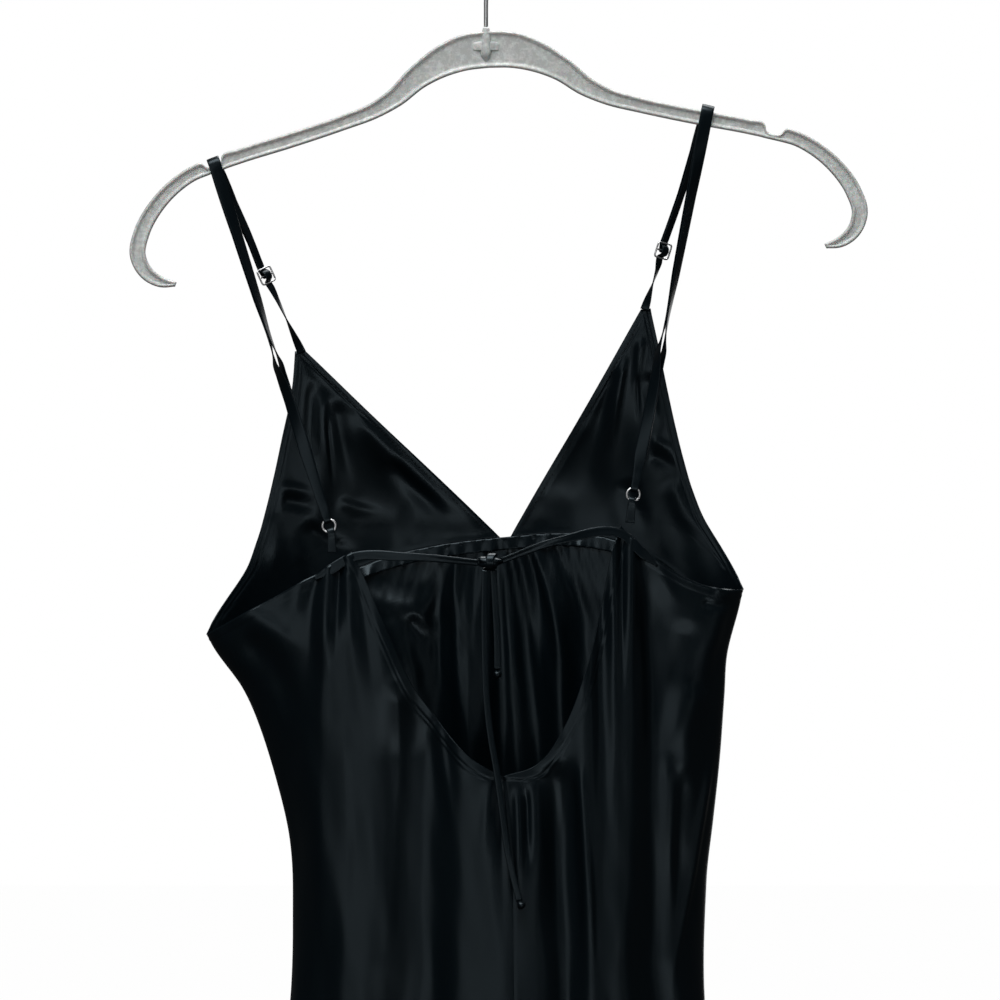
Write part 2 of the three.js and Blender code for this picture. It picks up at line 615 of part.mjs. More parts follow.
// The strap in one piece: sewn round the slider's bar, over the hanger, through the ring, back over the
// hanger beside itself, through the slider and down to the cup
function strapBody(strap) {
  const places = strapPlaces(strap);
  const { ringTop, down, apex, frontTop } = places;
  const doubled = doubledStations(strap, places);
  const layer = (list, side) => list.map(({ point, across, out, width, part }) => ({
    point: point.clone().addScaledVector(out, side * part), across, width,
  }));
  const up = frontTop.clone().sub(apex).normalize();
  const across = acrossAt(strap.slope, up, SLIDER_TWIST);
  const out = new THREE.Vector3().crossVectors(up, across).normalize();
  const middle = frontTop.clone().lerp(apex, strap.slider);
  const atSlider = (row) => ({
    point: middle.clone().addScaledVector(up, row.up).addScaledVector(out, row.out), across,
    width: STRAP_AT_SLIDER,
  });
  const ringAcross = acrossAt(strap.slope, down, BACK_LAST.twist);
  const ringOut = new THREE.Vector3().crossVectors(down, ringAcross).normalize();
  const turn = [];
  for (let degrees = 0; degrees <= 180; degrees += 22.5) {
    const angle = THREE.MathUtils.degToRad(degrees);
    turn.push({
      point: ringTop.clone().addScaledVector(ringOut, -RING_TURN.out * Math.cos(angle))
        .addScaledVector(down, RING_TURN.down * Math.sin(angle)),
      across: ringAcross, width: STRAP_AT_RING,
    });
  }
  const single = APEX_TWIST.map((row) => ({
    point: frontTop.clone().lerp(apex, lerp(strap.slider, 1, row.along)),
    across: acrossAt(strap.slope, up, row.twist), width: row.width,
  }));
  return ribbon([
    ...SLIDER_LOOP.map(atSlider), ...layer(doubled, -1), ...turn, ...layer(doubled, 1).reverse(),
    ...SLIDER_WEAVE.map(atSlider), ...single,
  ], STRAP_THICKNESS);
}

function framedBy(geometry, across, out, along, place) {
  return geometry.applyMatrix4(new THREE.Matrix4().makeBasis(across, out, along).setPosition(place));
}

function ringBody(strap) {
  const { down, ringCentre } = strapPlaces(strap);
  const across = acrossAt(strap.slope, down, BACK_LAST.twist);
  const torus = new THREE.TorusGeometry(RING_RADIUS, RING_WIRE, 6, 16);
  return framedBy(torus, across, down, new THREE.Vector3().crossVectors(across, down), ringCentre);
}

// A flat slider with two slots
function sliderBody(strap) {
  const { apex, frontTop } = strapPlaces(strap);
  const up = frontTop.clone().sub(apex).normalize();
  const across = acrossAt(strap.slope, up, SLIDER_TWIST);
  const out = new THREE.Vector3().crossVectors(across, up).normalize();
  const middle = frontTop.clone().lerp(apex, strap.slider);
  const halfWide = SLIDER.width / 2;
  const halfTall = (SLIDER.bars + SLIDER.bar) / 2;
  const bar = SLIDER.bar;
  const rectangle = (shape, x0, y0, x1, y1) => {
    shape.moveTo(x0, y0);
    shape.lineTo(x1, y0);
    shape.lineTo(x1, y1);
    shape.lineTo(x0, y1);
    shape.closePath();
    return shape;
  };
  const outline = rectangle(new THREE.Shape(), -halfWide, -halfTall, halfWide, halfTall);
  outline.holes.push(rectangle(new THREE.Path(), bar - halfWide, bar / 2, halfWide - bar, halfTall - bar));
  outline.holes.push(rectangle(new THREE.Path(), bar - halfWide, bar - halfTall, halfWide - bar, -bar / 2));
  const plate = new THREE.ExtrudeGeometry(outline, { depth: bar, bevelEnabled: false });
  plate.translate(0, 0, -bar / 2);
  return framedBy(plate, across, up, out, middle);
}

// The cloth loop that holds a ring to the back panel's top corner
function ringTab(strap) {
  const { down, ringCentre } = strapPlaces(strap);
  const across = acrossAt(strap.slope, down, BACK_LAST.twist);
  const out = new THREE.Vector3().crossVectors(down, across).normalize();
  const wire = ringCentre.clone().addScaledVector(down, RING_RADIUS);
  const foot = panelTop(ringCentre.x - RING_TAB.inset * Math.sign(strap.seatX));
  foot.y += CLOTH / 2;
  foot.z += RING_TAB.lift;
  const legTop = foot.clone().lerp(wire, 0.7);
  const legs = (side) => [
    { point: foot.clone().addScaledVector(out, side * LAYER), across, width: RING_TAB.foot },
    { point: legTop.clone().addScaledVector(out, side * RING_TAB.part), across, width: RING_TAB.top },
  ];
  const turn = [];
  for (let degrees = 0; degrees <= 180; degrees += 22.5) {
    const angle = THREE.MathUtils.degToRad(degrees);
    turn.push({
      point: wire.clone().addScaledVector(out, RING_TURN.out * Math.cos(angle))
        .addScaledVector(down, -RING_TURN.down * Math.sin(angle)),
      across, width: STRAP_AT_RING,
    });
  }
  return ribbon([...legs(1), ...turn, ...legs(-1).reverse()], STRAP_THICKNESS);
}

// A tie from the back's top corner across the opening to the knot
function tieBand(tie) {
  const sign = tie.side === 'left' ? -1 : 1;
  const below = TIE_WIDTH / 2 + BACK_TOP_DROP;
  const outBy = SEAM_GAP + TIE_THICKNESS / 2 + CLEARANCE;
  const onPanel = (x) => {
    const phi = angleAt(x, below);
    return bodyPoint(-1, phi, below).addScaledVector(bodyNormal(-1, phi, below), outBy);
  };
  const [x, y, drop] = tie.middle;
  const endX = KNOT.x + sign * (KNOT.wide + SEAM_GAP);
  const end = new THREE.Vector3(endX, KNOT.y, sign * TIE_SLANT - KNOT.drop);
  const route = new THREE.CatmullRomCurve3([
    onPanel(tie.start), onPanel(tie.corner), new THREE.Vector3(x, y, -drop), end,
  ]);
  const steps = 12;
  const stations = route.getSpacedPoints(steps).map((point, i) => ({
    point, across: new THREE.Vector3(0, 0, 1), width: lerp(TIE_WIDTH, TIE_END_WIDTH, i / steps),
  }));
  return ribbon(stations, TIE_THICKNESS);
}

// A knot of flat ribbon: a squashed ball with the soft ridges of its turns
function knotBody(wide, deep, tall, place, detail) {
  const ball = new THREE.SphereGeometry(1, detail, detail - 2);
  const points = ball.attributes.position;
  const point = new THREE.Vector3();
  for (let i = 0; i < points.count; i += 1) {
    point.fromBufferAttribute(points, i);
    const round = KNOT_TURNS.count * Math.atan2(point.z, point.x) + KNOT_TURNS.slant * point.y;
    const turns = 1 - KNOT_TURNS.depth * (1 - Math.cos(round));
    point.set(point.x * wide * turns, point.y * deep, point.z * tall * turns);
    points.setXYZ(i, point.x, point.y, point.z);
  }
  ball.deleteAttribute('normal');
  ball.deleteAttribute('uv');
  return mergeVertices(ball).translate(place[0], place[1], -place[2]);
}

// A free end of the tie: a flat cord with rounded edges
function tieEnd(end) {
  const route = new THREE.CatmullRomCurve3(end.route.map(([x, y, drop]) => new THREE.Vector3(x, y, -drop)));
  const steps = Math.round(route.getLength() / (3 * TIE_END_WIDTH));
  const halfWide = TIE_END_WIDTH / 2;
  const halfThick = TIE_THICKNESS / 2;
  const loops = route.getSpacedPoints(steps).map((point) => {
    const loop = [];
    for (let k = 0; k < 8; k += 1) {
      const angle = ((k + 0.5) * Math.PI) / 4;
      const x = Math.sign(Math.cos(angle)) * Math.abs(Math.cos(angle)) ** TIE_EDGE_ROUNDING;
      const y = Math.sign(Math.sin(angle)) * Math.abs(Math.sin(angle)) ** TIE_EDGE_ROUNDING;
      loop.push(point.clone().add(new THREE.Vector3(halfWide * x, halfThick * y, 0)));
    }
    return loop;
  });
  return loft(loops, [[0, 1, 2], [0, 2, 3], [0, 3, 4], [0, 4, 5], [0, 5, 6], [0, 6, 7]]);
}

const satin = new THREE.MeshStandardMaterial({ color: 0x0b1014, roughness: 0.42, metalness: 0 });
const clearPlastic = new THREE.MeshStandardMaterial({ color: 0xd8dcdb, roughness: 0.35, metalness: 0 });
const steel = new THREE.MeshStandardMaterial({ color: 0xb9bcc0, roughness: 0.25, metalness: 1 });

const group = new THREE.Group();

function piece(name, geometry, material) {
  const mesh = new THREE.Mesh(geometry, material);
  mesh.name = name;
  group.add(mesh);
}

piece('hanger_body', hangerBody(), clearPlastic);
piece('hanger_hook', hangerHook(), steel);
piece('front_skirt', frontSkirt(), satin);
for (const strap of STRAPS) {
  piece(`cup_${strap.side}`, cup(strap.side), satin);
  piece(`back_${strap.side}`, backPanel(strap.side), satin);
  piece(`strap_${strap.side}`, strapBody(strap), satin);
  piece(`slider_${strap.side}`, sliderBody(strap), steel);
  piece(`ring_${strap.side}`, ringBody(strap), steel);
  piece(`ring_tab_${strap.side}`, ringTab(strap), satin);
}
for (const tie of TIES) piece(`tie_${tie.side}`, tieBand(tie), satin);
piece('tie_knot', knotBody(KNOT.wide, KNOT.deep, KNOT.tall, [KNOT.x, KNOT.y, KNOT.drop], 14), satin);
for (const end of TIE_ENDS) {
  piece(`tie_end_${end.name}`, tieEnd(end), satin);
  const radius = END_KNOT_RADIUS;
  piece(`tie_end_knot_${end.name}`, knotBody(radius, radius, radius, end.knot, 9), satin);
}

export default group;
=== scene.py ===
# %% [markdown]
# # A black satin slip dress on a clear hanger
#
# The dress hangs with its open, tied back towards the camera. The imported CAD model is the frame: it fixes
# every size and place. This file only gives the looks. Cloth becomes thin sheets with creases, the straps
# and ties become soft ribbons, the hanger and the small metal parts get rounded forms and real finishes.
#
# All shapes are worked out in millimetres, as on a maker's pattern, and turned into metres once, when
# their points go into a mesh.

import math

import bmesh
import bpy
import numpy as np
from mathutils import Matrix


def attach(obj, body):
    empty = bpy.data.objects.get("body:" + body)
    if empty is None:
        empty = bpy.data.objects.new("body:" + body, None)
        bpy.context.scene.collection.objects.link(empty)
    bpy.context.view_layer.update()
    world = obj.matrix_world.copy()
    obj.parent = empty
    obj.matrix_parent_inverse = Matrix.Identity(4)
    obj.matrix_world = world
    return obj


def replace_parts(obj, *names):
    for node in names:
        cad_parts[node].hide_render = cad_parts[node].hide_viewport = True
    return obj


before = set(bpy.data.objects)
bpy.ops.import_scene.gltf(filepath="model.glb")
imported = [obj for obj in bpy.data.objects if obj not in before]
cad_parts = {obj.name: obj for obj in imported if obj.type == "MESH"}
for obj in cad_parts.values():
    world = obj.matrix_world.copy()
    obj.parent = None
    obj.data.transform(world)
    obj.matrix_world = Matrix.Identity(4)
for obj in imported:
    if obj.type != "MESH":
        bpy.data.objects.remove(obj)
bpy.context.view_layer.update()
MM = 0.001

# %% [markdown]
# ## The camera
#
# The photo was taken square to the dress from a few metres away. A long lens gives its flat view. The width
# that the photo spans at the hanger fixes the lens, because the sensor, the distance and that width are
# two like triangles.

# %% Camera
PHOTO_WIDTH = 0.6
CAMERA_AWAY = 4.0
CAMERA_AIM = (0.0084, -0.3438)
SENSOR = 36.0


def link(name, data):
    """Puts a camera, a light or a mesh into the scene as an object."""
    thing = bpy.data.objects.new(name, data)
    bpy.context.collection.objects.link(thing)
    return thing


def make_camera():
    """The lens is the sensor's width times the distance over the width that the photo spans."""
    data = bpy.data.cameras.new("camera")
    data.sensor_width = SENSOR
    data.lens = SENSOR * CAMERA_AWAY / PHOTO_WIDTH
    camera = link("camera", data)
    camera.location = (CAMERA_AIM[0], -CAMERA_AWAY, CAMERA_AIM[1])
    camera.rotation_euler = (math.pi / 2, 0, 0)
    bpy.context.scene.camera = camera
    return camera


camera = make_camera()
print("camera lens in mm:", round(camera.data.lens))

# %% [markdown]
# ## Tools for surfaces
#
# Each piece is a grid of points: rows run along it and columns across it. One function turns a grid into
# a mesh, with a UV map that is measured along the surface in metres, so that the weave of the satin has
# its true size on every piece.

# %% From a grid of points to a piece
CLOTH_UV = "cloth"


def arc(points, axis):
    """The distance along a grid's rows or columns: the running sum of the steps between its points."""
    steps = np.linalg.norm(np.diff(points, axis=axis), axis=-1)
    start = np.zeros_like(np.take(steps, [0], axis=axis))
    return np.cumsum(np.concatenate([start, steps], axis=axis), axis=axis)


def grid_faces(rows, columns, ring=False, loop=False):
    """Quads between neighbours of a grid; a ring closes the columns, a loop closes the rows."""
    j = np.arange(rows if loop else rows - 1)[:, None]
    i = np.arange(columns if ring else columns - 1)[None, :]
    below, beside = (j + 1) % rows, (i + 1) % columns
    corners = [j * columns + i, j * columns + beside, below * columns + beside, below * columns + i]
    return np.stack(corners, axis=-1).reshape(-1, 4)


def new_piece(name, points, faces, uv, material, caps=()):
    """A mesh from points in millimetres, equal faces and triangles as caps; it rides on the root body."""
    sizes = np.repeat([faces.shape[1], 3], [len(faces), len(caps)])
    corners = np.concatenate([faces.ravel(), np.ravel(caps)]).astype(np.int32)
    mesh = bpy.data.meshes.new(name)
    mesh.vertices.add(len(points))
    mesh.vertices.foreach_set("co", (points * MM).ravel())
    mesh.loops.add(len(corners))
    mesh.loops.foreach_set("vertex_index", corners)
    mesh.polygons.add(len(sizes))
    mesh.polygons.foreach_set("loop_start", np.cumsum(sizes) - sizes)
    mesh.update(calc_edges=True)
    layer = mesh.uv_layers.new(name=CLOTH_UV)
    layer.data.foreach_set("uv", (uv[corners] * MM).ravel())
    mesh.polygons.foreach_set("use_smooth", np.ones(len(sizes), dtype=bool))
    mesh.materials.append(material)
    piece = link(name, mesh)
    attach(piece, "root")
    return piece


def tube_piece(name, loops, material, closed=False):
    """A closed body from a stack of equal rings of points; flat caps close it unless it is a loop."""
    rows, columns = loops.shape[:2]
    faces = grid_faces(rows, columns, ring=True, loop=closed)
    points = loops.reshape(-1, 3)
    across = arc(loops, 1).reshape(-1)
    along = arc(loops, 0).mean(axis=1, keepdims=True).repeat(columns, axis=1).reshape(-1)
    uv = np.stack([across, along], axis=-1)
    caps = ()
    if not closed:
        points = np.concatenate([points, loops[[0, -1]].mean(axis=1)])
        uv = np.concatenate([uv, uv[[0, -1]]])
        i = np.arange(columns)
        beside = (i + 1) % columns
        last = (rows - 1) * columns
        hub = np.full(columns, rows * columns)
        first_cap = np.stack([beside, i, hub], axis=-1)
        last_cap = np.stack([last + i, last + beside, hub + 1], axis=-1)
        caps = np.concatenate([first_cap, last_cap])
    return outward(new_piece(name, points, faces, uv, material, caps))


def outward(piece):
    """Turns the faces of a closed body outwards, by the sign of its volume."""
    mesh = piece.data
    mesh.calc_loop_triangles()
    corners = np.zeros(3 * len(mesh.loop_triangles), dtype=np.int32)
    mesh.loop_triangles.foreach_get("vertices", corners)
    points = np.zeros(3 * len(mesh.vertices))
    mesh.vertices.foreach_get("co", points)
    a, b, c = points.reshape(-1, 3)[corners.reshape(-1, 3)].transpose(1, 0, 2)
    if np.einsum("ij,ij->i", a, np.cross(b, c)).sum() < 0:
        mesh.flip_normals()
    return piece


# %% [markdown]
# ## Lines and ribbons
#
# Straps, ties, wires and cord ends all follow a smooth line. It is a chain of cubics through a few known
# places, cut into equal steps. A section is then carried along it: round for wire, and a squared-off oval
# for ribbons. Blender's own curves could do it too, but arrays keep the section's turn under control.

# %% Smooth lines
TINY = 1e-12
LEVEL_SIDE = np.array([1.0, 0.0, 0.0])
FRONT_SIDE = np.array([0.0, 1.0, 0.0])
BACK_SIDE = -FRONT_SIDE


def cubic(a, b, p, q, t):
    """The cubic that leaves a with slope p and reaches b with slope q, as t goes from 0 to 1."""
    return a + t * (p + t * (3 * (b - a) - 2 * p - q + t * (2 * (a - b) + p + q)))


def read_off(at, along, values):
    """Each column of a table of values, read at places along it."""
    return np.stack([np.interp(at, along, column) for column in values.T], axis=-1)


def smooth_line(places, count, fine=16):
    """A cubic through places, resampled to count points at equal distances along it.

    The slope at a place is the mean of the slopes of the two steps that meet there, each weighted by the
    length of the other, so that short steps beside long ones don't overshoot.
    """
    places = np.asarray(places, dtype=float)
    steps = np.diff(places, axis=0)
    lengths = np.linalg.norm(steps, axis=1, keepdims=True)
    slopes = steps / lengths
    inner = (slopes[:-1] * lengths[1:] + slopes[1:] * lengths[:-1]) / (lengths[1:] + lengths[:-1])
    slope = np.concatenate([slopes[:1], inner, slopes[-1:]])
    t = np.linspace(0, 1, fine, endpoint=False)[None, :, None]
    p, q = slope[:-1, None] * lengths[:, None], slope[1:, None] * lengths[:, None]
    run = cubic(places[:-1, None], places[1:, None], p, q, t)
    run = np.concatenate([run.reshape(-1, places.shape[1]), places[-1:]])
    along = arc(run, 0)
    return read_off(np.linspace(0, along[-1], count), along, run)


def unit(vectors):
    """Vectors of length one."""
    return vectors / np.maximum(np.linalg.norm(vectors, axis=-1, keepdims=True), TINY)


def directions(line, closed=False):
    """The direction of a line at each of its points: the step from the one before to the one after."""
    if closed:
        return unit(np.roll(line, -1, axis=0) - np.roll(line, 1, axis=0))
    return unit(np.gradient(line, axis=0))


def turn_angles(count, offset=0.0):
    """Equal angles once round, in radians."""
    return (np.arange(count) + offset) * 2 * math.pi / count


def squared(wave, power):
    """A cosine or sine raised to a power with its sign kept: 1 leaves it, a lower power makes it squarer."""
    return np.sign(wave) * np.abs(wave) ** power


def sections(line, first, second, wide, tall):
    """Rings of points along a line: wide times the first axis plus tall times the second axis."""
    return line[:, None] + first[..., None, :] * wide[..., None] + second[..., None, :] * tall[..., None]


def ribbon_loops(line, across, width, thickness, sides=16, roundness=0.55, closed=False):
    """Flat sections along a line: a squared-off oval, width by thickness, in the plane across the line."""
    along = directions(line, closed)
    out = unit(np.cross(along, across))
    flat = np.cross(out, along)
    angle = turn_angles(sides, 0.5)
    half_width = np.broadcast_to(width, len(line))[:, None] / 2
    half_thickness = np.broadcast_to(thickness, len(line))[:, None] / 2
    wide = half_width * squared(np.cos(angle), roundness)
    return sections(line, flat, out, wide, half_thickness * squared(np.sin(angle), roundness))


def wire_loops(line, radius, sides=16):
    """Round sections along a line that stays in an upright plane; the ring's first axis is level."""
    along = directions(line)
    second = unit(np.cross(along, FRONT_SIDE))
    angle, radius = turn_angles(sides), radius[:, None]
    return sections(line, np.cross(second, along), second, radius * np.cos(angle), radius * np.sin(angle))


# %% [markdown]
# ## Materials by expressions
#
# A shader's maths reads best as a formula. `Value` wraps one socket, so that `0.2 + mask * 0.5` adds its own
# Math nodes. Every other node comes from `Paint.add`: its type, then its settings, then its inputs.

# %% Sockets with operators
class Value:
    """One output socket of a material; sums and products of values add Math nodes."""

    def __init__(self, paint, socket):
        self.paint = paint
        self.socket = socket

    def math(self, operation, first, second):
        """One Math node on two values or numbers."""
        return self.paint.add("ShaderNodeMath", {"operation": operation}, {0: first, 1: second})

    def __add__(self, other):
        return self.math("ADD", self, other)

    def __radd__(self, other):
        return self.math("ADD", other, self)

    def __mul__(self, other):
        return self.math("MULTIPLY", self, other)

    def __rmul__(self, other):
        return self.math("MULTIPLY", other, self)


class Paint:
    """The node tree of one material around its Principled shader."""

    def __init__(self, name, slot=None, **constants):
        self.material = bpy.data.materials.new(name)
        self.material.use_nodes = True
        self.tree = self.material.node_tree
        self.shader = self.tree.nodes["Principled BSDF"]
        for socket, number in constants.items():
            self.shader.inputs[socket.replace("_", " ")].default_value = number

    def add(self, kind, settings=None, inputs=None, output=0):
        """Adds a node: its settings first, then the numbers or links of its inputs."""
        node = self.tree.nodes.new(kind)
        for name, setting in (settings or {}).items():
            setattr(node, name, setting)
        for key, value in (inputs or {}).items():
            self.feed(node.inputs[key], value)
        return Value(self, node.outputs[output])

    def feed(self, socket, value):
        """Links a value to a socket, or sets the socket to a number or a colour."""
        if isinstance(value, Value):
            self.tree.links.new(value.socket, socket)
        else:
            socket.default_value = value

    def set(self, socket, value):
        """Leads a value that changes over the surface into the shader."""
        self.feed(self.shader.inputs[socket], value)

    def mix(self, factor, first, second):
        """A blend of two colours."""
        settings = {"data_type": "RGBA"}
        return self.add("ShaderNodeMix", settings, {0: factor, 6: first, 7: second}, output=2)

    def cloth_place(self, scale):
        """The piece's own UV in metres, stretched by a scale for each direction."""
        uv = self.add("ShaderNodeUVMap", {"uv_map": CLOTH_UV})
        return self.add("ShaderNodeMapping", {}, {"Vector": uv, "Scale": scale})

    def object_place(self, scale):
        """Object coordinates in metres, stretched by a scale for each direction."""
        place = self.add("ShaderNodeTexCoord", {}, {}, output="Object")
        return self.add("ShaderNodeMapping", {}, {"Vector": place, "Scale": scale})

    def noise(self, place, detail=2.0, roughness=0.5):
        """Noise with one blotch to each unit of its place, which the place's scale makes smaller."""
        inputs = {"Vector": place, "Scale": 1.0, "Detail": detail, "Roughness": roughness}
        return self.add("ShaderNodeTexNoise", {}, inputs)

    def ramp(self, value, low, high):
        """0 below the low value, 1 above the high one."""
        return self.add("ShaderNodeMapRange", {"clamp": True}, {0: value, 1: low, 2: high, 3: 0.0, 4: 1.0})

    def bump(self, height, strength, distance):
        """A relief of a height from 0 to 1 over a distance in metres."""
        inputs = {"Height": height, "Strength": strength, "Distance": distance}
        self.set("Normal", self.add("ShaderNodeBump", {}, inputs))


# %% [markdown]
# ## The satin
#
# Satin is woven so that long threads float over the face: they reflect together and give the soft, wide
# sheen, while the threads themselves are too fine to see from a few steps away. So the base is nearly
# black with a breath of blue, the roughness drifts slowly, in streaks along the warp, and the bump is only
# the fine float of the threads. The mirror part is weaker than a plastic's and a little blue, because this
# black swallows most light.

# %% Satin
SATIN_DARK = (0.0005, 0.002, 0.0032, 1)
SATIN_LIGHT = (0.001, 0.003, 0.0045, 1)
SATIN_GLINT = (0.72, 0.9, 1.0, 1)


def make_satin():
    """The noises are stretched along the warp, in metres of cloth."""
    paint = Paint("satin", Specular_IOR_Level=0.3, Specular_Tint=SATIN_GLINT)
    cloud = paint.noise(paint.cloth_place((14, 5, 1)), 3.0)
    streak = paint.noise(paint.cloth_place((900, 22, 1)))
    threads = paint.noise(paint.cloth_place((4200, 900, 1)), 1.0)
    shade = paint.ramp(cloud * 0.7 + streak * 0.3, 0.35, 0.65)
    paint.set("Base Color", paint.mix(shade, SATIN_DARK, SATIN_LIGHT))
    paint.set("Roughness", 0.22 + cloud * 0.1 + streak * 0.06)
    paint.bump(threads * 0.6 + streak * 0.4, 0.25, 0.00006)
    return paint.material


satin = make_satin()

# %% [markdown]
# ## The hanger's plastic
#
# The hanger is moulded from clear plastic with a milky cast. Flow during moulding leaves small bubbles
# and specks inside it, so the pale base is mottled by two noises, and the gloss drifts with the slower one.

# %% Clear plastic
PLASTIC_GREY = (0.59, 0.615, 0.6, 1)
PLASTIC_PALE = (0.74, 0.77, 0.75, 1)


def make_clear_plastic():
    """Fine specks in slow clouds; where they are dense the plastic lets less light through."""
    paint = Paint("clear_plastic", IOR=1.49, Specular_IOR_Level=0.5, Subsurface_Weight=0.15,
                  Subsurface_Scale=0.004, Coat_Weight=0.3, Coat_Roughness=0.12)
    specks = paint.noise(paint.object_place((420, 420, 420)), 3.0, 0.65)
    clouds = paint.noise(paint.object_place((60, 60, 60)))
    mottle = paint.ramp(specks * 0.75 + clouds * 0.25, 0.42, 0.62)
    paint.set("Base Color", paint.mix(mottle, PLASTIC_GREY, PLASTIC_PALE))
    paint.set("Roughness", 0.22 + clouds * 0.2)
    paint.set("Alpha", 0.82 + mottle * 0.16)
    paint.bump(specks, 0.3, 0.0002)
    return paint.material


clear_plastic = make_clear_plastic()

# %% [markdown]
# ## Bright metal
#
# The hook, the rings and the sliders are plated wire: smooth, with drawing marks along the wire.

# %% Steel
STEEL_DARK = (0.72, 0.73, 0.74, 1)
STEEL_LIGHT = (0.94, 0.95, 0.96, 1)


def make_steel():
    """Drawing marks are a noise that is stretched upwards."""
    paint = Paint("steel", Metallic=1.0)
    marks = paint.noise(paint.object_place((900, 900, 120)))
    paint.set("Base Color", paint.mix(paint.ramp(marks, 0.3, 0.7), STEEL_DARK, STEEL_LIGHT))
    paint.set("Roughness", 0.3 + marks * 0.16)
    paint.bump(marks, 0.2, 0.00005)
    return paint.material


steel = make_steel()
print("materials:", satin.name, clear_plastic.name, steel.name)

# %% [markdown]
# ## The free ends of the tie
#
# The narrow tie is knotted in the middle of the open back, and its two ends hang straight down under
# their own weight. They are real lengths of a flat cord, so they come first: a mesh tube that follows the
# CAD route, a little softer at its edges, with the small knot at each end.

# %% Tie ends
TIE_END_WIDTH = 4.0
TIE_THICKNESS = 1.2
TIE_END_STEP = 1.2
END_KNOT_RADIUS = 2.7
KNOT_SLANT = 2.0
POLE = 0.02
TIE_END_ROUTES = {
    "short": [(4.4, -37.5, 385.1), (5.6, -37.5, 406), (6.6, -37.5, 426), (6.8, -37.5, 444.6)],
    "long": [
        (-0.4, -39.3, 385.3), (-0.9, -41, 410), (-0.6, -42, 436), (0.4, -43, 462), (3, -44, 485),
        (6.6, -45.5, 506), (9.6, -47, 528), (12.6, -48, 550), (16.4, -48, 568), (19.9, -48, 581.4),
    ],
}
END_KNOTS = {"short": (6.8, -37.5, 447.5), "long": (21, -48, 584)}
DOWN = np.array([1.0, 1.0, -1.0])


def knot_loops(place, wide, deep, tall, rows=26, columns=40, turns=3, depth=0.16):
    """A ball squashed to three half sizes; its radius dips where the turns of the cord meet.

    The dip is depth times (1 - cos(turns times the angle in the face plus the slant times the way in)) / 2.
    """
    polar = np.linspace(POLE, math.pi - POLE, rows)[:, None]
    around = turn_angles(columns)[None, :]
    x = np.sin(polar) * np.cos(around)
    y = np.cos(polar) + 0 * around
    z = np.sin(polar) * np.sin(around)
    dip = 1 - depth * (1 - np.cos(turns * np.arctan2(z, x) + KNOT_SLANT * y)) / 2
    ball = np.stack([x * wide * dip, y * deep, z * tall * dip], axis=-1)
    return ball + np.array(place) * DOWN


def make_tie_end(name):
    """The route's points, in metres, are those of the CAD route; the thickness swells by a slow sine."""
    places = np.array(TIE_END_ROUTES[name]) * DOWN
    length = arc(smooth_line(places, 200), 0)[-1]
    line = smooth_line(places, int(length / TIE_END_STEP))
    across = np.broadcast_to(LEVEL_SIDE, line.shape)
    s = np.linspace(0, 1, len(line))
    swell = TIE_THICKNESS * (1 + 0.12 * np.sin(9 * s + 1))
    end = tube_piece(f"tie_cord_{name}", ribbon_loops(line, across, TIE_END_WIDTH, swell), satin)
    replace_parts(end, f"tie_end_{name}")
    ball = knot_loops(END_KNOTS[name], END_KNOT_RADIUS, END_KNOT_RADIUS, END_KNOT_RADIUS)
    knot = tube_piece(f"tie_cord_knot_{name}", ball, satin)
    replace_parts(knot, f"tie_end_knot_{name}")
    print("tie end", name, "is", round(length), "mm long")


for end_name in TIE_END_ROUTES:
    make_tie_end(end_name)

# %% [markdown]
# ## The form of the dress
#
# Seen from above, the hanging dress is a flat oval that changes with the height. A table gives the half
# width and the depth of the front and back walls at a few heights, and a cubic runs smoothly between
# them. The hanger hangs crooked, so the top of the dress leans, and the lean fades towards the waist.

# %% Body surface
HEM_DROP = 1250
BACK_TOP_DROP = 367
LEVEL_COLUMNS = ("half", "front", "back", "centre", "lean")
LEVELS = np.array([
    (230, 160.2, 15, 12, -6.6, 0.123),
    (300, 160.2, 26, 20, -6.6, 0.112),
    (367, 160.2, 36, 28, -6.6, 0.1),
    (410, 160.2, 36, 32, -6.6, 0.084),
    (446, 145, 35, 34, -0.5, 0.074),
    (470, 139.2, 35, 35, 3.5, 0.065),
    (507, 132.4, 35, 36, 7.4, 0.051),
    (540, 127, 36, 37, 9.1, 0.042),
    (575, 123.8, 37, 38, 8.2, 0.03),
    (644, 124, 40, 40, 6.9, 0.012),
    (720, 134, 44, 44, 6, 0),
    (850, 158, 50, 50, 5, 0),
    (1000, 180, 55, 55, 5, 0),
    (1130, 196, 60, 60, 5, 0),
    (HEM_DROP, 208, 64, 64, 5, 0),
])


def level(drop):
    """The cut of the dress at a drop: a cubic through the table whose slopes are its neighbours' own."""
    rows = LEVELS[:, 0]
    values = LEVELS[:, 1:]
    slopes = np.empty_like(values)
    slopes[1:-1] = (values[2:] - values[:-2]) / (rows[2:] - rows[:-2])[:, None]
    slopes[0] = (values[1] - values[0]) / (rows[1] - rows[0])
    slopes[-1] = (values[-1] - values[-2]) / (rows[-1] - rows[-2])
    drop = np.asarray(drop, dtype=float)
    i = np.clip(np.searchsorted(rows, drop, side="right") - 1, 0, len(rows) - 2)
    span = (rows[i + 1] - rows[i])[..., None]
    t = np.clip((drop - rows[i])[..., None] / span, 0, 1)
    found = cubic(values[i], values[i + 1], slopes[i] * span, slopes[i + 1] * span, t)
    return {name: found[..., k] for k, name in enumerate(LEVEL_COLUMNS)}


def smooth_step(value, low, high):
    """0 below low, 1 above high, and 3 t^2 - 2 t^3 between."""
    t = np.clip((value - low) / (high - low), 0, 1)
    return t * t * (3 - 2 * t)


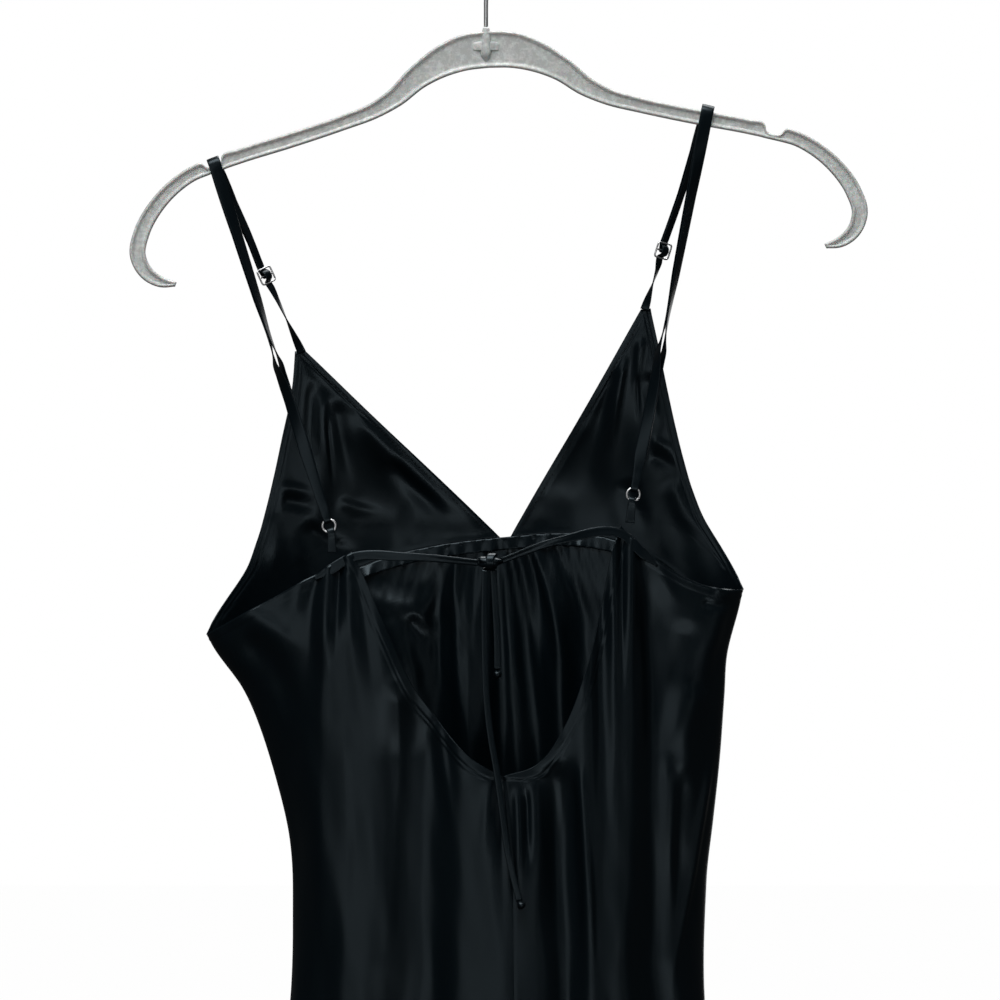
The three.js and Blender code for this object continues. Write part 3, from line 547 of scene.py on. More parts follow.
# %% [markdown]
# Long soft folds run down the cloth from the gathers. They are the same rows as in the CAD source: the
# place of each fold at three heights, its half width, how far it stands out and where it starts.

# %% Long folds
FOLD_TOP, FOLD_WAIST = 400, 620
FOLD_START = 55
FOLD_SPREAD = 1.3
# Columns: place at the top, the waist and the hem, half width, height, drop where it starts.
BACK_FOLDS = (
    (-88, -94, -150, 24, 7, 366), (-48, -45, -80, 18, -9, 440), (14, 19, 8, 20, 4, 512),
    (40, 47, 56, 10, -5, 490), (60, 62, 92, 10, 6, 400), (86, 80, 136, 11, 6, 358),
    (102, 102, 166, 9, -5, 375), (130, 112, 190, 10, 4, 400),
)
FRONT_FOLDS = (
    (-78, -84, -140, 15, 5, 400), (-30, -34, -66, 11, 5, 372), (-8, -12, -26, 8, -5, 368),
    (9, 12, 14, 8, 5, 366), (26, 36, 56, 9, 5, 368), (40, 58, 92, 8, -5, 370),
    (58, 80, 130, 12, 5, 374), (104, 106, 176, 13, -4, 430),
)
BUST = {"side": 62, "drop": 345, "wide": 30, "tall": 44, "fullness": 9}


def fold_lift(folds, x, drop):
    """The sum of bell curves across the cloth, each along its own line down the dress."""
    lower = np.clip((drop - FOLD_WAIST) / (HEM_DROP - FOLD_WAIST), 0, 1)
    upper = (drop - FOLD_TOP) / (FOLD_WAIST - FOLD_TOP)
    lift = np.zeros_like(x)
    for top, waist, hem, width, height, start in folds:
        middle = np.where(drop < FOLD_WAIST, top + (waist - top) * upper, waist + (hem - waist) * lower)
        grown = smooth_step(drop, start, start + FOLD_START)
        bell = np.exp(-(((x - middle) / (width * (1 + FOLD_SPREAD * lower))) ** 2))
        lift += grown * height * (1 + lower) * bell
    return lift


def bust_lift(x, centre, drop):
    """A soft round rise on each side of the middle."""
    across = (np.abs(x - centre) - BUST["side"]) / BUST["wide"]
    down = (drop - BUST["drop"]) / BUST["tall"]
    return BUST["fullness"] * np.exp(-(across**2) - down**2)


def body_point(front, phi, drop):
    """x is centre + half sin(phi), y is the depth of the wall times cos(phi), z is lean x - drop."""
    cut = level(drop)
    x = cut["centre"] + cut["half"] * np.sin(phi)
    if front > 0:
        lift = fold_lift(FRONT_FOLDS, x, drop) + bust_lift(x, cut["centre"], drop)
    else:
        lift = fold_lift(BACK_FOLDS, x, drop)
    depth = cut["front" if front > 0 else "back"] + lift
    return np.stack([x, front * depth * np.cos(phi), cut["lean"] * x - drop], axis=-1)


def angle_at(x, drop):
    """The angle round the dress of the place at x: the inverse of body_point's sine."""
    cut = level(drop)
    return np.arcsin(np.clip((x - cut["centre"]) / cut["half"], -1, 1))


def surface_normals(points):
    """The unit cross product of the steps along the columns and the rows."""
    return unit(np.cross(np.gradient(points, axis=1), np.gradient(points, axis=0)))


# %% [markdown]
# ## Creases
#
# The folds give the large form. What makes cloth look like cloth are the creases over it: soft, uneven
# ridges and troughs that start at a gather, a knot or a seam and die out. Each is a short curve on the
# cloth, seen square from the back, with a width, a height and a skew that makes one flank steeper.
# Heights below zero are troughs.

# %% Crease lines
CREASE_STEPS = 14
NEAR_WIDTHS = 3


def crease_lift(points, creases):
    """The sum of the creases: height times a bell curve of the distance from the crease's own curve.

    The curve is a parabola through three places. The bell is narrower on one flank by the skew, and its
    height grows from nothing at the start and fades to nothing at the end.
    """
    x, below = points[..., 0], -points[..., 2]
    lift = np.zeros_like(x)
    for start, middle, end, width, height, skew in creases:
        t = np.linspace(0, 1, CREASE_STEPS)[:, None]
        a, m, b = np.array(start, float), np.array(middle, float), np.array(end, float)
        guide = 2 * m - (a + b) / 2
        line = (1 - t) ** 2 * a + 2 * t * (1 - t) * guide + t**2 * b
        low, high = line.min(axis=0) - NEAR_WIDTHS * width, line.max(axis=0) + NEAR_WIDTHS * width
        near = (x > low[0]) & (x < high[0]) & (below > low[1]) & (below < high[1])
        place = np.stack([x[near], below[near]], axis=-1)[:, None]
        step = (line[1:] - line[:-1])[None]
        share = np.clip(((place - line[None, :-1]) * step).sum(-1) / (step**2).sum(-1), 0, 1)
        offset = place - (line[None, :-1] + share[..., None] * step)
        distance = np.linalg.norm(offset, axis=-1)
        best = distance.argmin(axis=1)
        pick = np.arange(len(best))
        side = np.sign(step[0, best, 0] * offset[pick, best, 1] - step[0, best, 1] * offset[pick, best, 0])
        along = (best + share[pick, best]) / (CREASE_STEPS - 1)
        fade = smooth_step(along, 0, 0.2) * (1 - smooth_step(along, 0.45, 1))
        bell = np.exp(-((distance[pick, best] / (width * (1 + skew * side))) ** 2))
        lift[near] += height * fade * bell
    return lift


RIPPLE_WAVES = 7


def ripple(points, seed, length, height):
    """Slow unevenness of hanging cloth: seven waves of about one length, with seeded turns and phases."""
    random = np.random.default_rng(seed)
    x, z = points[..., 0], points[..., 2]
    lift = np.zeros_like(x)
    for _ in range(RIPPLE_WAVES):
        across = random.uniform(0.6, 1.5) * 2 * math.pi / length
        down = random.uniform(-0.35, 0.35) * across
        lift += np.sin(across * x + down * z + random.uniform(0, 2 * math.pi))
    return height * lift / 3


# %% [markdown]
# ## Cloth panels
#
# A panel is a grid on the body surface, pushed in or out along its own normal by its creases. An edge that
# is turned and stitched is a little thicker and has a fine groove where the stitches pull it in. The
# sheet gets its real thickness from Solidify, towards the inside.

# %% Panels
SATIN_THICKNESS = 0.7
TURN = {"width": 6.0, "height": 0.45, "step": 1.2, "groove": 0.35, "stitch": 0.7, "inset": 0.8}
SEAM = {"depth": 0.5, "width": 1.6, "flat": 14}


def turned_edge(distance, width=TURN["width"]):
    """A step up near the edge and a groove along the stitches, by the distance from the edge."""
    raised = TURN["height"] * (1 - smooth_step(distance, width, width + TURN["step"]))
    groove = TURN["groove"] * np.exp(-(((distance - width + TURN["inset"]) / TURN["stitch"]) ** 2))
    return raised - groove


def seam_pull(distance):
    """A seam pulls the cloth in along its line."""
    return -SEAM["depth"] * np.exp(-((distance / SEAM["width"]) ** 2))


def panel_piece(name, points, outside, node):
    """The sheet as a piece: faces turned to the outside, thickness towards the inside."""
    faces = grid_faces(*points.shape[:2])
    normals = surface_normals(points)
    if (normals * outside).sum() > 0:
        faces = faces[:, ::-1]
    uv = np.stack([arc(points, 1), arc(points, 0)], axis=-1).reshape(-1, 2)
    piece = new_piece(name, points.reshape(-1, 3), faces, uv, satin)
    thick = piece.modifiers.new("thickness", "SOLIDIFY")
    thick.thickness = SATIN_THICKNESS * MM
    thick.offset = -1
    thick.use_even_offset = False
    if node:
        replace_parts(piece, node)
    return piece


def flat_area(points):
    """The area of a grid in square metres: half the cross product of each quad's diagonals."""
    first = points[1:, 1:] - points[:-1, :-1]
    second = points[1:, :-1] - points[:-1, 1:]
    return np.linalg.norm(np.cross(first, second), axis=-1).sum() / 2 * MM**2


def state_sheet(panel, base):
    area = flat_area(base)
    print(panel.name, "is cut from", round(area, 4), "m2")


def turned(grid, side):
    """The grid laid so that the named side is its first column."""
    if side in ("top", "bottom"):
        grid = grid.swapaxes(0, 1)
    return grid[:, ::-1] if side in ("last", "bottom") else grid


def turned_back(grid, side):
    """The inverse of turned."""
    if side in ("last", "bottom"):
        grid = grid[:, ::-1]
    return grid.swapaxes(0, 1) if side in ("top", "bottom") else grid


def edge_distance(points, side):
    """How far each point is from one side of its grid.

    It is the way along the grid line that leaves the side, times the sine of the angle between them.
    """
    grid = turned(points, side)
    leave = unit(grid[:, 1] - grid[:, 0])
    sine = np.linalg.norm(np.cross(leave, directions(grid[:, 0])), axis=-1)
    return turned_back(arc(grid, 1) * sine[:, None], side)


def pushed(points, outside, lift):
    """The grid moved by lift along its own normals, on the side that outside points to."""
    normals = surface_normals(points)
    normals = normals * np.sign((normals * outside).sum(-1, keepdims=True) + 1e-9)
    return points + normals * lift[..., None]


def between(first, last, share):
    """A share of the way from the first value to the last."""
    return first + (last - first) * share


def columns_between(start, end, share):
    """Angles from start to end: half even in angle and half even across the dress."""
    even = between(start, end, share)
    flat = np.arcsin(between(np.sin(start), np.sin(end), share))
    return (even + flat) / 2


# %% [markdown]
# ## The back panels
#
# Each back panel is cut away along the large teardrop opening and joined to the other below it. Its top
# corner is gathered into the tie, so creases fan out from there. The opening and the top have a narrow
# turned edge with one row of stitches, and the centre seam pulls the cloth in just under the opening.

# %% Back panels
KEYHOLE = {
    "left": [
        (-80, BACK_TOP_DROP), (-76.5, 374), (-59.4, 416), (-38.4, 461), (-21, 484), (-7, 498.5), (10, 508.7),
    ],
    "right": [
        (80, BACK_TOP_DROP), (77.6, 374), (70.2, 406), (59.4, 450), (46.8, 481.6), (29, 503.5), (10, 508.7),
    ],
}
CENTRE_SEAM = np.array([(508.7, 10), (566, 16), (644, 16.5), (HEM_DROP, 8)])
BACK_TOP_SAG = {"left": 1, "right": 11}
SIDE_TIP_DROP = 410
KEYHOLE_SIDE_DROP = 545
BACK_ROWS = {"opening": 108, "below": 168, "crowd": 1.25}
BACK_COLUMNS = 112
EDGE_CROWD = 1.3
SIGN = {"left": -1, "right": 1}
BACK_TOP_TURN = 3.5
# Columns: seed, wave length, height.
BACK_RIPPLES = [(11, 46, 0.5), (21, 17, 0.12)]
# Columns of every crease table: start, middle and end as places across and down, half width, height, skew.
BACK_CREASES = {
    "left": [
        ((-91, 374), (-95, 408), (-97, 520), 4, 1.8, 0.2), ((-87, 375), (-88.5, 402), (-90, 450), 3, -2, 0),
        ((-83, 374), (-81, 402), (-76, 480), 4, 1.6, -0.2),
        ((-79, 380), (-72, 420), (-60, 490), 5, -1.6, 0),
        ((-104, 378), (-112, 400), (-124, 430), 6, 1.4, 0.3),
        ((-98, 378), (-104, 410), (-108, 470), 5, -1.6, 0),
        ((-158, 405), (-130, 418), (-104, 440), 8, 2, 0.3),
        ((-150, 424), (-124, 450), (-112, 500), 9, -1.8, 0),
        ((-96, 440), (-101, 560), (-106, 720), 10, 1.4, 0.3),
        ((-118, 470), (-114, 560), (-114, 700), 9, -1, 0),
        ((-86, 470), (-84, 560), (-86, 700), 6, 0.8, 0.2), ((-46, 466), (-44, 560), (-50, 740), 6, 0.7, 0.2),
        ((-10, 500), (2, 560), (4, 720), 8, 0.8, 0.2), ((-54, 450), (-52, 500), (-56, 600), 6, 1.6, -0.3),
        ((-30, 476), (-26, 502), (-20, 545), 4, 1.2, 0.3), ((4, 509), (1, 530), (-1, 566), 2.6, 1, 0.3),
        ((10, 514), (9, 540), (10, 600), 3, -1.4, 0), ((-36, 400), (-33, 600), (-50, 1000), 13, -4.6, 0),
        ((-66, 400), (-63, 600), (-82, 1000), 12, 3.2, 0),
    ],
    "right": [
        ((76, 360), (76.5, 420), (78, 660), 3.6, 2.2, 0.3), ((86, 360), (86.5, 405), (85, 500), 3, 1.7, 0.2),
        ((81, 362), (81, 400), (81.5, 480), 2.6, -1.6, 0), ((93, 366), (97, 430), (99, 540), 5, -2.4, 0),
        ((70, 396), (68, 450), (69, 560), 4, -1.8, 0), ((98, 372), (106, 392), (118, 412), 6, 1.3, 0.3),
        ((144, 398), (135, 426), (128, 456), 7, 2.2, 0.3), ((128, 452), (114, 480), (104, 512), 9, 1.8, 0),
        ((108, 492), (109, 550), (106, 640), 5, 1.8, 0.3), ((136, 394), (143, 399), (150, 397), 3, 1.6, 0.2),
        ((128, 404), (138, 407), (148, 404), 2.6, -1.3, 0), ((122, 414), (112, 444), (102, 480), 8, -1.2, 0),
        ((136, 494), (123, 566), (108, 650), 2.2, 1.5, 0.3), ((118, 500), (116, 560), (112, 660), 5, -1.8, 0),
        ((56, 498), (61, 570), (66, 690), 2.6, 1.9, 0.3), ((50, 494), (54, 570), (57, 680), 4, -1.4, 0),
        ((40, 498), (45, 560), (47, 700), 7, -2.6, 0), ((18.6, 512), (20, 544), (21, 584), 2.2, 1.8, 0.2),
        ((24, 514), (25, 540), (25.5, 572), 1.9, -1.8, 0), ((28, 508), (30, 540), (30, 610), 4, 1.6, 0),
    ],
}


def back_panel(side):
    """Rows run from the opening or the centre seam to the side seam, each straight on the flat pattern.

    The top row sags between its ends as 4 s (1 - s), and the sag fades along the opening.
    """
    v = np.linspace(0, 1, BACK_ROWS["opening"] + 1)
    edge = smooth_line(KEYHOLE[side], len(v))
    side_drop = between(SIDE_TIP_DROP, KEYHOLE_SIDE_DROP, v)
    t = np.linspace(0, 1, BACK_ROWS["below"] + 1)[1:] ** BACK_ROWS["crowd"]
    seam_drop = between(edge[-1, 1], HEM_DROP, t)
    seam_x = np.interp(seam_drop, CENTRE_SEAM[:, 0], CENTRE_SEAM[:, 1])
    edge = np.concatenate([edge, np.stack([seam_x, seam_drop], axis=-1)])
    side_drop = np.concatenate([side_drop, between(KEYHOLE_SIDE_DROP, HEM_DROP, t)])[:, None]
    start = angle_at(edge[:, 0], edge[:, 1])[:, None]
    end = np.full_like(start, SIGN[side] * math.pi / 2)
    phi = columns_between(start, end, np.linspace(0, 1, BACK_COLUMNS + 1)[None, :] ** EDGE_CROWD)
    share = (np.sin(phi) - np.sin(start)) / (np.sin(end) - np.sin(start))
    fade = np.concatenate([(1 - v) ** 2, np.zeros(len(t))])[:, None]
    sag = 4 * share * (1 - share) * BACK_TOP_SAG[side] * fade
    drop = between(edge[:, 1:], side_drop, share) + sag
    return body_point(-1, phi, drop)


def make_back(side):
    """Creases and ripples, flat near the side seam, then the turned edges and the seams."""
    base = back_panel(side)
    first = edge_distance(base, "first")
    opening = np.arange(len(base))[:, None] <= BACK_ROWS["opening"]
    side_seam = edge_distance(base, "last")
    lift = crease_lift(base, BACK_CREASES[side])
    for seed, length, height in BACK_RIPPLES:
        lift += ripple(base, seed + SIGN[side], length, height)
    lift *= smooth_step(side_seam, 0, SEAM["flat"])
    lift += np.where(opening, turned_edge(first), seam_pull(first))
    lift += turned_edge(edge_distance(base, "top"), BACK_TOP_TURN) + seam_pull(side_seam)
    lift += turned_edge(edge_distance(base, "bottom"))
    points = pushed(base, BACK_SIDE, lift)
    panel = panel_piece(f"cloth_back_{side}", points, BACK_SIDE, f"back_{side}")
    state_sheet(panel, base)
    return points


back_points = {side: make_back(side) for side in SIGN}

# %% [markdown]
# ## The front skirt
#
# The front skirt is one panel. Its top edge follows the seam under the cups and is eased into it with
# small gathers under the V, so fine waves leave the seam and die out within a hand's width. Through the
# opening in the back its inner side shows, with a slack fold on the left.

# %% Front skirt
V_POINT = (11.7, 367.5)
UNDERBUST_SIDE_DROP = 450
FRONT_ROWS, FRONT_COLUMNS, FRONT_CROWD = 216, 186, 1.35
GATHER = {"middle": 10, "wide": 62, "length": 31, "waves": 7.5, "height": 0.9, "spread": 160}
GATHER_UNEVEN = {"height": 2.2, "length": 9.0}
FRONT_FLAT = 12
FRONT_RIPPLES = [(31, 50, 0.5), (41, 15, 0.12)]
FRONT_CREASES = [
    ((-17.5, 368), (-17.5, 430), (-15, 530), 2.6, -2.4, 0.2), ((1, 368), (1.5, 430), (3, 530), 3, -2.4, 0),
    ((-8.5, 370), (-8, 440), (-6, 540), 4, 1.9, 0), ((10, 368), (15, 430), (18, 520), 3, -1.7, 0.2),
    ((18, 367), (29, 420), (35, 500), 3, -1.7, 0.2), ((26, 366), (41, 408), (50, 470), 3.6, -1.7, 0.2),
    ((22, 367), (36, 415), (43, 486), 2.6, 1.5, 0), ((13, 368), (22, 425), (26, 510), 2.6, 1.5, 0),
    ((36, 366), (54, 400), (62, 440), 4, 1.6, 0), ((-27, 368), (-29, 430), (-27, 520), 4, 1.6, 0),
    ((-77, 397), (-46, 409), (-20, 390), 6, -1.3, 0.2), ((-70, 386), (-46, 395), (-26, 382), 6, 0.9, 0),
    ((-46, 409), (-36, 417), (-27, 429), 2.5, -1.4, 0.3), ((-49, 415), (-41, 424), (-33, 435), 2.5, 1.1, 0),
    ((-60, 412), (-48, 440), (-40, 480), 6, -1.8, 0.3), ((-96, 420), (-92, 520), (-98, 680), 10, 2.4, 0.3),
    ((-70, 430), (-66, 540), (-74, 700), 9, -2.4, 0), ((86, 400), (92, 500), (98, 660), 9, 2.2, 0.3),
    ((64, 410), (68, 520), (76, 690), 8, -2.2, 0), ((-8, 560), (-14, 700), (-22, 900), 14, 3, 0.3),
    ((30, 560), (34, 700), (44, 900), 12, -3, 0.2), ((-120, 560), (-122, 700), (-138, 900), 12, 3, 0.3),
    ((118, 560), (124, 700), (142, 900), 12, 3, 0.3), ((110, 455), (96, 480), (84, 500), 5, 1.6, 0.3),
    ((-118, 458), (-104, 484), (-92, 510), 5, 1.6, 0.3),
]


def underbust_drop(sine):
    """The seam under the cups: from the V it drops to each side seam with the cube of the way."""
    cut = level(V_POINT[1])
    middle = (V_POINT[0] - cut["centre"]) / cut["half"]
    share = (sine - middle) / np.where(sine >= middle, 1 - middle, -1 - middle)
    return between(V_POINT[1], UNDERBUST_SIDE_DROP, share**3)


def gather_lift(points, below):
    """Small waves under the V: a sine across the cloth that fades to the sides and with the drop.

    The waves are uneven, because the sine of the place itself shifts them, and they spread downwards.
    """
    x = points[..., 0]
    shift = GATHER_UNEVEN["height"] * np.sin(x / GATHER_UNEVEN["length"])
    place = x + shift - below * (x - GATHER["middle"]) / GATHER["spread"]
    wave = np.sin(place * 2 * math.pi / GATHER["waves"])
    aside = np.exp(-(((x - GATHER["middle"]) / GATHER["wide"]) ** 4))
    return GATHER["height"] * wave * aside * np.exp(-below / GATHER["length"])


def make_front_skirt():
    """A grid from the seam under the cups to the hem, with creases, gathers, seams and a turned hem."""
    u = np.linspace(0, 1, FRONT_COLUMNS + 1)[None, :]
    v = np.linspace(0, 1, FRONT_ROWS + 1)[:, None] ** FRONT_CROWD
    phi = columns_between(-math.pi / 2, math.pi / 2, u) + 0 * v
    base = body_point(1, phi, between(underbust_drop(np.sin(phi)), HEM_DROP, v))
    below = edge_distance(base, "top")
    side_seam = np.minimum(edge_distance(base, "first"), edge_distance(base, "last"))
    lift = crease_lift(base, FRONT_CREASES)
    for seed, length, height in FRONT_RIPPLES:
        lift += ripple(base, seed, length, height)
    lift = lift * smooth_step(below, 0, FRONT_FLAT) + gather_lift(base, below)
    lift *= smooth_step(side_seam, 0, SEAM["flat"])
    lift += seam_pull(below) + seam_pull(side_seam) + turned_edge(edge_distance(base, "bottom"))
    points = pushed(base, FRONT_SIDE, lift)
    panel = panel_piece("cloth_front_skirt", points, FRONT_SIDE, "front_skirt")
    state_sheet(panel, base)


make_front_skirt()

# %% [markdown]
# ## The cups
#
# Two triangles of satin form the front top. Each is filled out by one dart from the seam below, and
# its two free edges are turned. From behind, their inner sides show above the back: soft, slack creases
# run from the strap down to the dart.

# %% Cups
APEX_DROP, APEX_HALF = 240.5, 2.9
APEX = {"left": -112, "right": 96}
V_HALF = 3
ARMHOLE = [
    (160.2, SIDE_TIP_DROP), (149, 398), (138, 383), (131, 365), (126, 345), (121, 321), (116.5, 297),
    (110, 262),
]
CUP_ROWS = {"side": 16, "armhole": 80, "side_share": 1 / 6}
CUP_COLUMNS = 88
CUP_TURN, CUP_FLAT = 4, 10
CUP_RIPPLE = {"seed": 51, "length": 30, "height": 0.35}
CUP_CREASES = {
    "left": [
        ((-97, 276), (-98, 305), (-92, 338), 4, -1.4, 0.3),
        ((-104, 270), (-106, 300), (-104, 330), 4, 1.2, 0),
        ((-90, 282), (-86, 310), (-78, 340), 4.5, 1.6, 0),
        ((-126, 336), (-114, 337), (-102, 342), 3.2, -0.9, 0.2),
        ((-124, 345), (-113, 346), (-100, 351), 3.6, 0.9, 0),
        ((-90, 344), (-76, 349), (-60, 352), 3.6, -0.8, 0.2),
        ((-110, 252), (-98, 268), (-84, 286), 5, 1.6, 0), ((-80, 290), (-48, 320), (-10, 354), 8, -2, 0.3),
        ((-60, 318), (-40, 340), (-14, 362), 5, 1.6, 0), ((-134, 350), (-128, 372), (-130, 396), 6, -1.2, 0),
        ((-112, 356), (-92, 372), (-70, 378), 6, 1.8, 0.2), ((-96, 292), (-94, 316), (-92, 336), 1.1, 1, 0),
    ],
    "right": [
        ((84, 256), (79, 284), (75, 320), 4, -2.4, 0.3), ((78, 262), (70, 290), (64, 326), 4.5, 1.8, 0),
        ((94, 246), (92, 262), (91, 286), 3, -1.6, 0), ((91, 268), (91.5, 282), (92, 300), 1.1, 1, 0),
        ((99, 307), (108, 311), (118, 318), 3.2, -0.9, 0.2), ((98, 317), (108, 321), (120, 328), 3.6, 0.9, 0),
        ((98, 266), (101, 286), (104, 306), 4, 1.6, 0), ((62, 290), (42, 320), (22, 352), 7, -2, 0.3),
        ((50, 300), (36, 330), (22, 360), 4, 1.5, 0), ((112, 330), (120, 350), (130, 366), 6, -1.8, 0.2),
        ((84, 330), (90, 350), (100, 362), 6, 1.6, 0),
    ],
}


def cup_panel(side):
    """Rows run from the V edge to the side seam and the armhole, and close up towards the strap."""
    sign = SIGN[side]
    middle = level(APEX_DROP)["centre"]
    outer_x = APEX[side] + sign * APEX_HALF
    low = np.linspace(0, 1, CUP_ROWS["side"], endpoint=False)
    armhole = smooth_line([*ARMHOLE, (abs(outer_x - middle), APEX_DROP)], CUP_ROWS["armhole"] + 1)
    arm_phi = angle_at(middle + sign * armhole[:, 0], armhole[:, 1])
    arm_phi[0] = sign * math.pi / 2
    end = np.concatenate([np.full(len(low), sign * math.pi / 2), arm_phi])[:, None]
    end_drop = np.concatenate([between(UNDERBUST_SIDE_DROP, SIDE_TIP_DROP, low), armhole[:, 1]])[:, None]
    side_share = CUP_ROWS["side_share"]
    v = np.concatenate([low * side_share, np.linspace(side_share, 1, len(armhole))])[:, None]
    inner_x = between(V_POINT[0] + sign * V_HALF, APEX[side] - sign * APEX_HALF, v)
    inner_drop = between(V_POINT[1], APEX_DROP, v)
    start = angle_at(inner_x, inner_drop)
    phi = columns_between(start, end, np.linspace(0, 1, CUP_COLUMNS + 1)[None, :])
    share = (np.sin(phi) - np.sin(start)) / (np.sin(end) - np.sin(start))
    seam = underbust_drop(np.sin(phi)) - between(V_POINT[1], UNDERBUST_SIDE_DROP, share)
    drop = between(inner_drop, end_drop, share) + seam * (1 - v) ** 2
    return body_point(1, phi, drop)


def make_cup(side):
    """Creases and a slow ripple, flat near the edges, then the turned edges and the seams."""
    base = cup_panel(side)
    below = edge_distance(base, "top")
    v_edge = edge_distance(base, "first")
    arm = edge_distance(base, "last")
    at_side = np.arange(len(base))[:, None] < CUP_ROWS["side"]
    seed = CUP_RIPPLE["seed"] + SIGN[side]
    lift = crease_lift(base, CUP_CREASES[side])
    lift += ripple(base, seed, CUP_RIPPLE["length"], CUP_RIPPLE["height"])
    lift *= smooth_step(np.minimum(v_edge, arm), 0, CUP_FLAT) * smooth_step(below, 0, CUP_FLAT)
    lift += turned_edge(v_edge, CUP_TURN) + seam_pull(below)
    lift += np.where(at_side, seam_pull(arm), turned_edge(arm, CUP_TURN))
    points = pushed(base, FRONT_SIDE, lift)
    panel = panel_piece(f"cloth_cup_{side}", points, FRONT_SIDE, f"cup_{side}")
    state_sheet(panel, base)
    return points


cup_points = {side: make_cup(side) for side in SIGN}

# %% [markdown]
# ## Straps
#
# Each strap is one narrow ribbon. It is sewn round the middle bar of its slider, runs up over the hanger,
# down to the ring, through it and back beside itself, then through the slider and on to the cup. The two
# layers turn together on the way down, so the strap shows its face at the hanger and its edge lower down.
# The stations follow those of the CAD source. At the slider the ribbon lies flatter here, the two layers
# change places there as in the photo, and the last station runs onto the cup.

# %% Strap places
STRAP_WIDTH, STRAP_THICKNESS = 7.6, 1.0
STRAP_AT_RING, STRAP_AT_SLIDER = 4.4, 5.0
RIBBON_THICKNESS = 0.9 * STRAP_THICKNESS
RIBBON_STEP = {"strap": 0.9, "tab": 0.5}
SEAM_GAP, CLEARANCE, CLOTH, APEX_LIFT = 0.3, 0.5, 1.5, 1.5
RING_RADIUS, RING_WIRE = 3.9, 0.6
RING_TURN = {"out": 1.5, "down": 2.1}
HANGER_THICKNESS, SEAT_DEPTH = 5.0, 1.0
LAYER = (STRAP_THICKNESS + SEAM_GAP) / 2
STRAPS = {
    "left": {"seat": (-162.4, 142.2), "slope": 20.9, "curl": 0.54, "slider": 0.6, "ring": (-93.6, 359.2)},
    "right": {"seat": (132.4, 110.9), "slope": -13.5, "curl": 0.61, "slider": 0.71, "ring": (87.9, 340.5)},
}
# Columns: share of the way, twist in degrees, width, half the way between the two layers.
BACK_TWIST = [
    (0.04, 8, STRAP_WIDTH, LAYER), (0.36, 46, STRAP_WIDTH, LAYER), (0.7, 62, STRAP_WIDTH, LAYER),
    (0.94, 84, STRAP_WIDTH, LAYER), (1, 96, STRAP_WIDTH, 1.3), (1.04, 110, STRAP_WIDTH, 1.9),
    (1.1, 126, STRAP_WIDTH, 1.2), (1.16, 140, STRAP_WIDTH, LAYER), (1.5, 172, STRAP_WIDTH, LAYER),
]
BACK_LAST = {"share": 0.95, "twist": 180, "width": 5.6}
FRONT_TWIST = [(0.42, 52, 5.4, LAYER), (0.2, 44, 6.6, LAYER), (0.05, 8, STRAP_WIDTH, LAYER)]
SLIDER_TWIST = 40
# Columns: share of the way from the slider to the cup, twist, width.
APEX_TWIST = [(0.35, 66, 5), (0.6, 92, 5.4), (0.8, 124, 5.4), (1, 158, 5.4), (1.06, 166, 5.4)]
# Columns: way up from the slider's middle bar, way in from it.
SLIDER_LOOP = [
    (0.7, 0.9), (0, 1.05), (-0.8, 0.8), (-1.1, 0), (-0.8, -0.8), (0, -1.05), (2.5, -1.8), (4.6, -2.1),
    (7.6, -1.9),
]
SLIDER_WEAVE = [
    (7.6, -0.9), (4.6, -1.1), (3.6, -0.8), (3.1, -0.1), (2.6, 0.9), (1.8, 1.7), (0, 2.1),
    (-1.8, 1.7), (-2.6, 0.9), (-3.1, -0.1), (-3.6, -0.8), (-4.6, -1.1), (-7.6, -0.5),
]


def across_at(slope, along, twist):
    """The width direction of a strand: level along the hanger, then turned by the twist."""
    lean, turn = math.radians(slope), math.radians(twist)
    flat = np.array([math.cos(lean) * math.cos(turn), math.sin(turn), math.sin(lean) * math.cos(turn)])
    return unit(flat - along * (flat @ along))


def panel_top(x):
    """The place on the back's top edge at x."""
    return body_point(-1, angle_at(x, BACK_TOP_DROP), BACK_TOP_DROP)


def strap_places(side):
    """Where a strap sits on the hanger, at its ring and at its cup, and the way down to each."""
    strap = STRAPS[side]
    ring_x, ring_drop = strap["ring"]
    radius = HANGER_THICKNESS / 2 + CLEARANCE + STRAP_THICKNESS + SEAM_GAP / 2
    seat = np.array([strap["seat"][0], 0, -strap["seat"][1] - SEAT_DEPTH])
    ring = np.array([ring_x, panel_top(ring_x)[1] + CLOTH / 2, -ring_drop])
    apex = body_point(1, angle_at(APEX[side], APEX_DROP), APEX_DROP) + [0, -CLOTH / 2, APEX_LIFT]
    back_top, front_top = seat + [0, -radius, 0], seat + [0, radius, 0]
    down = unit(ring - back_top)
    up = unit(front_top - apex)
    return {"seat": seat, "radius": radius, "ring": ring, "apex": apex, "back": back_top, "front": front_top,
            "down": down, "up": up, "ring_top": ring - RING_RADIUS * down}


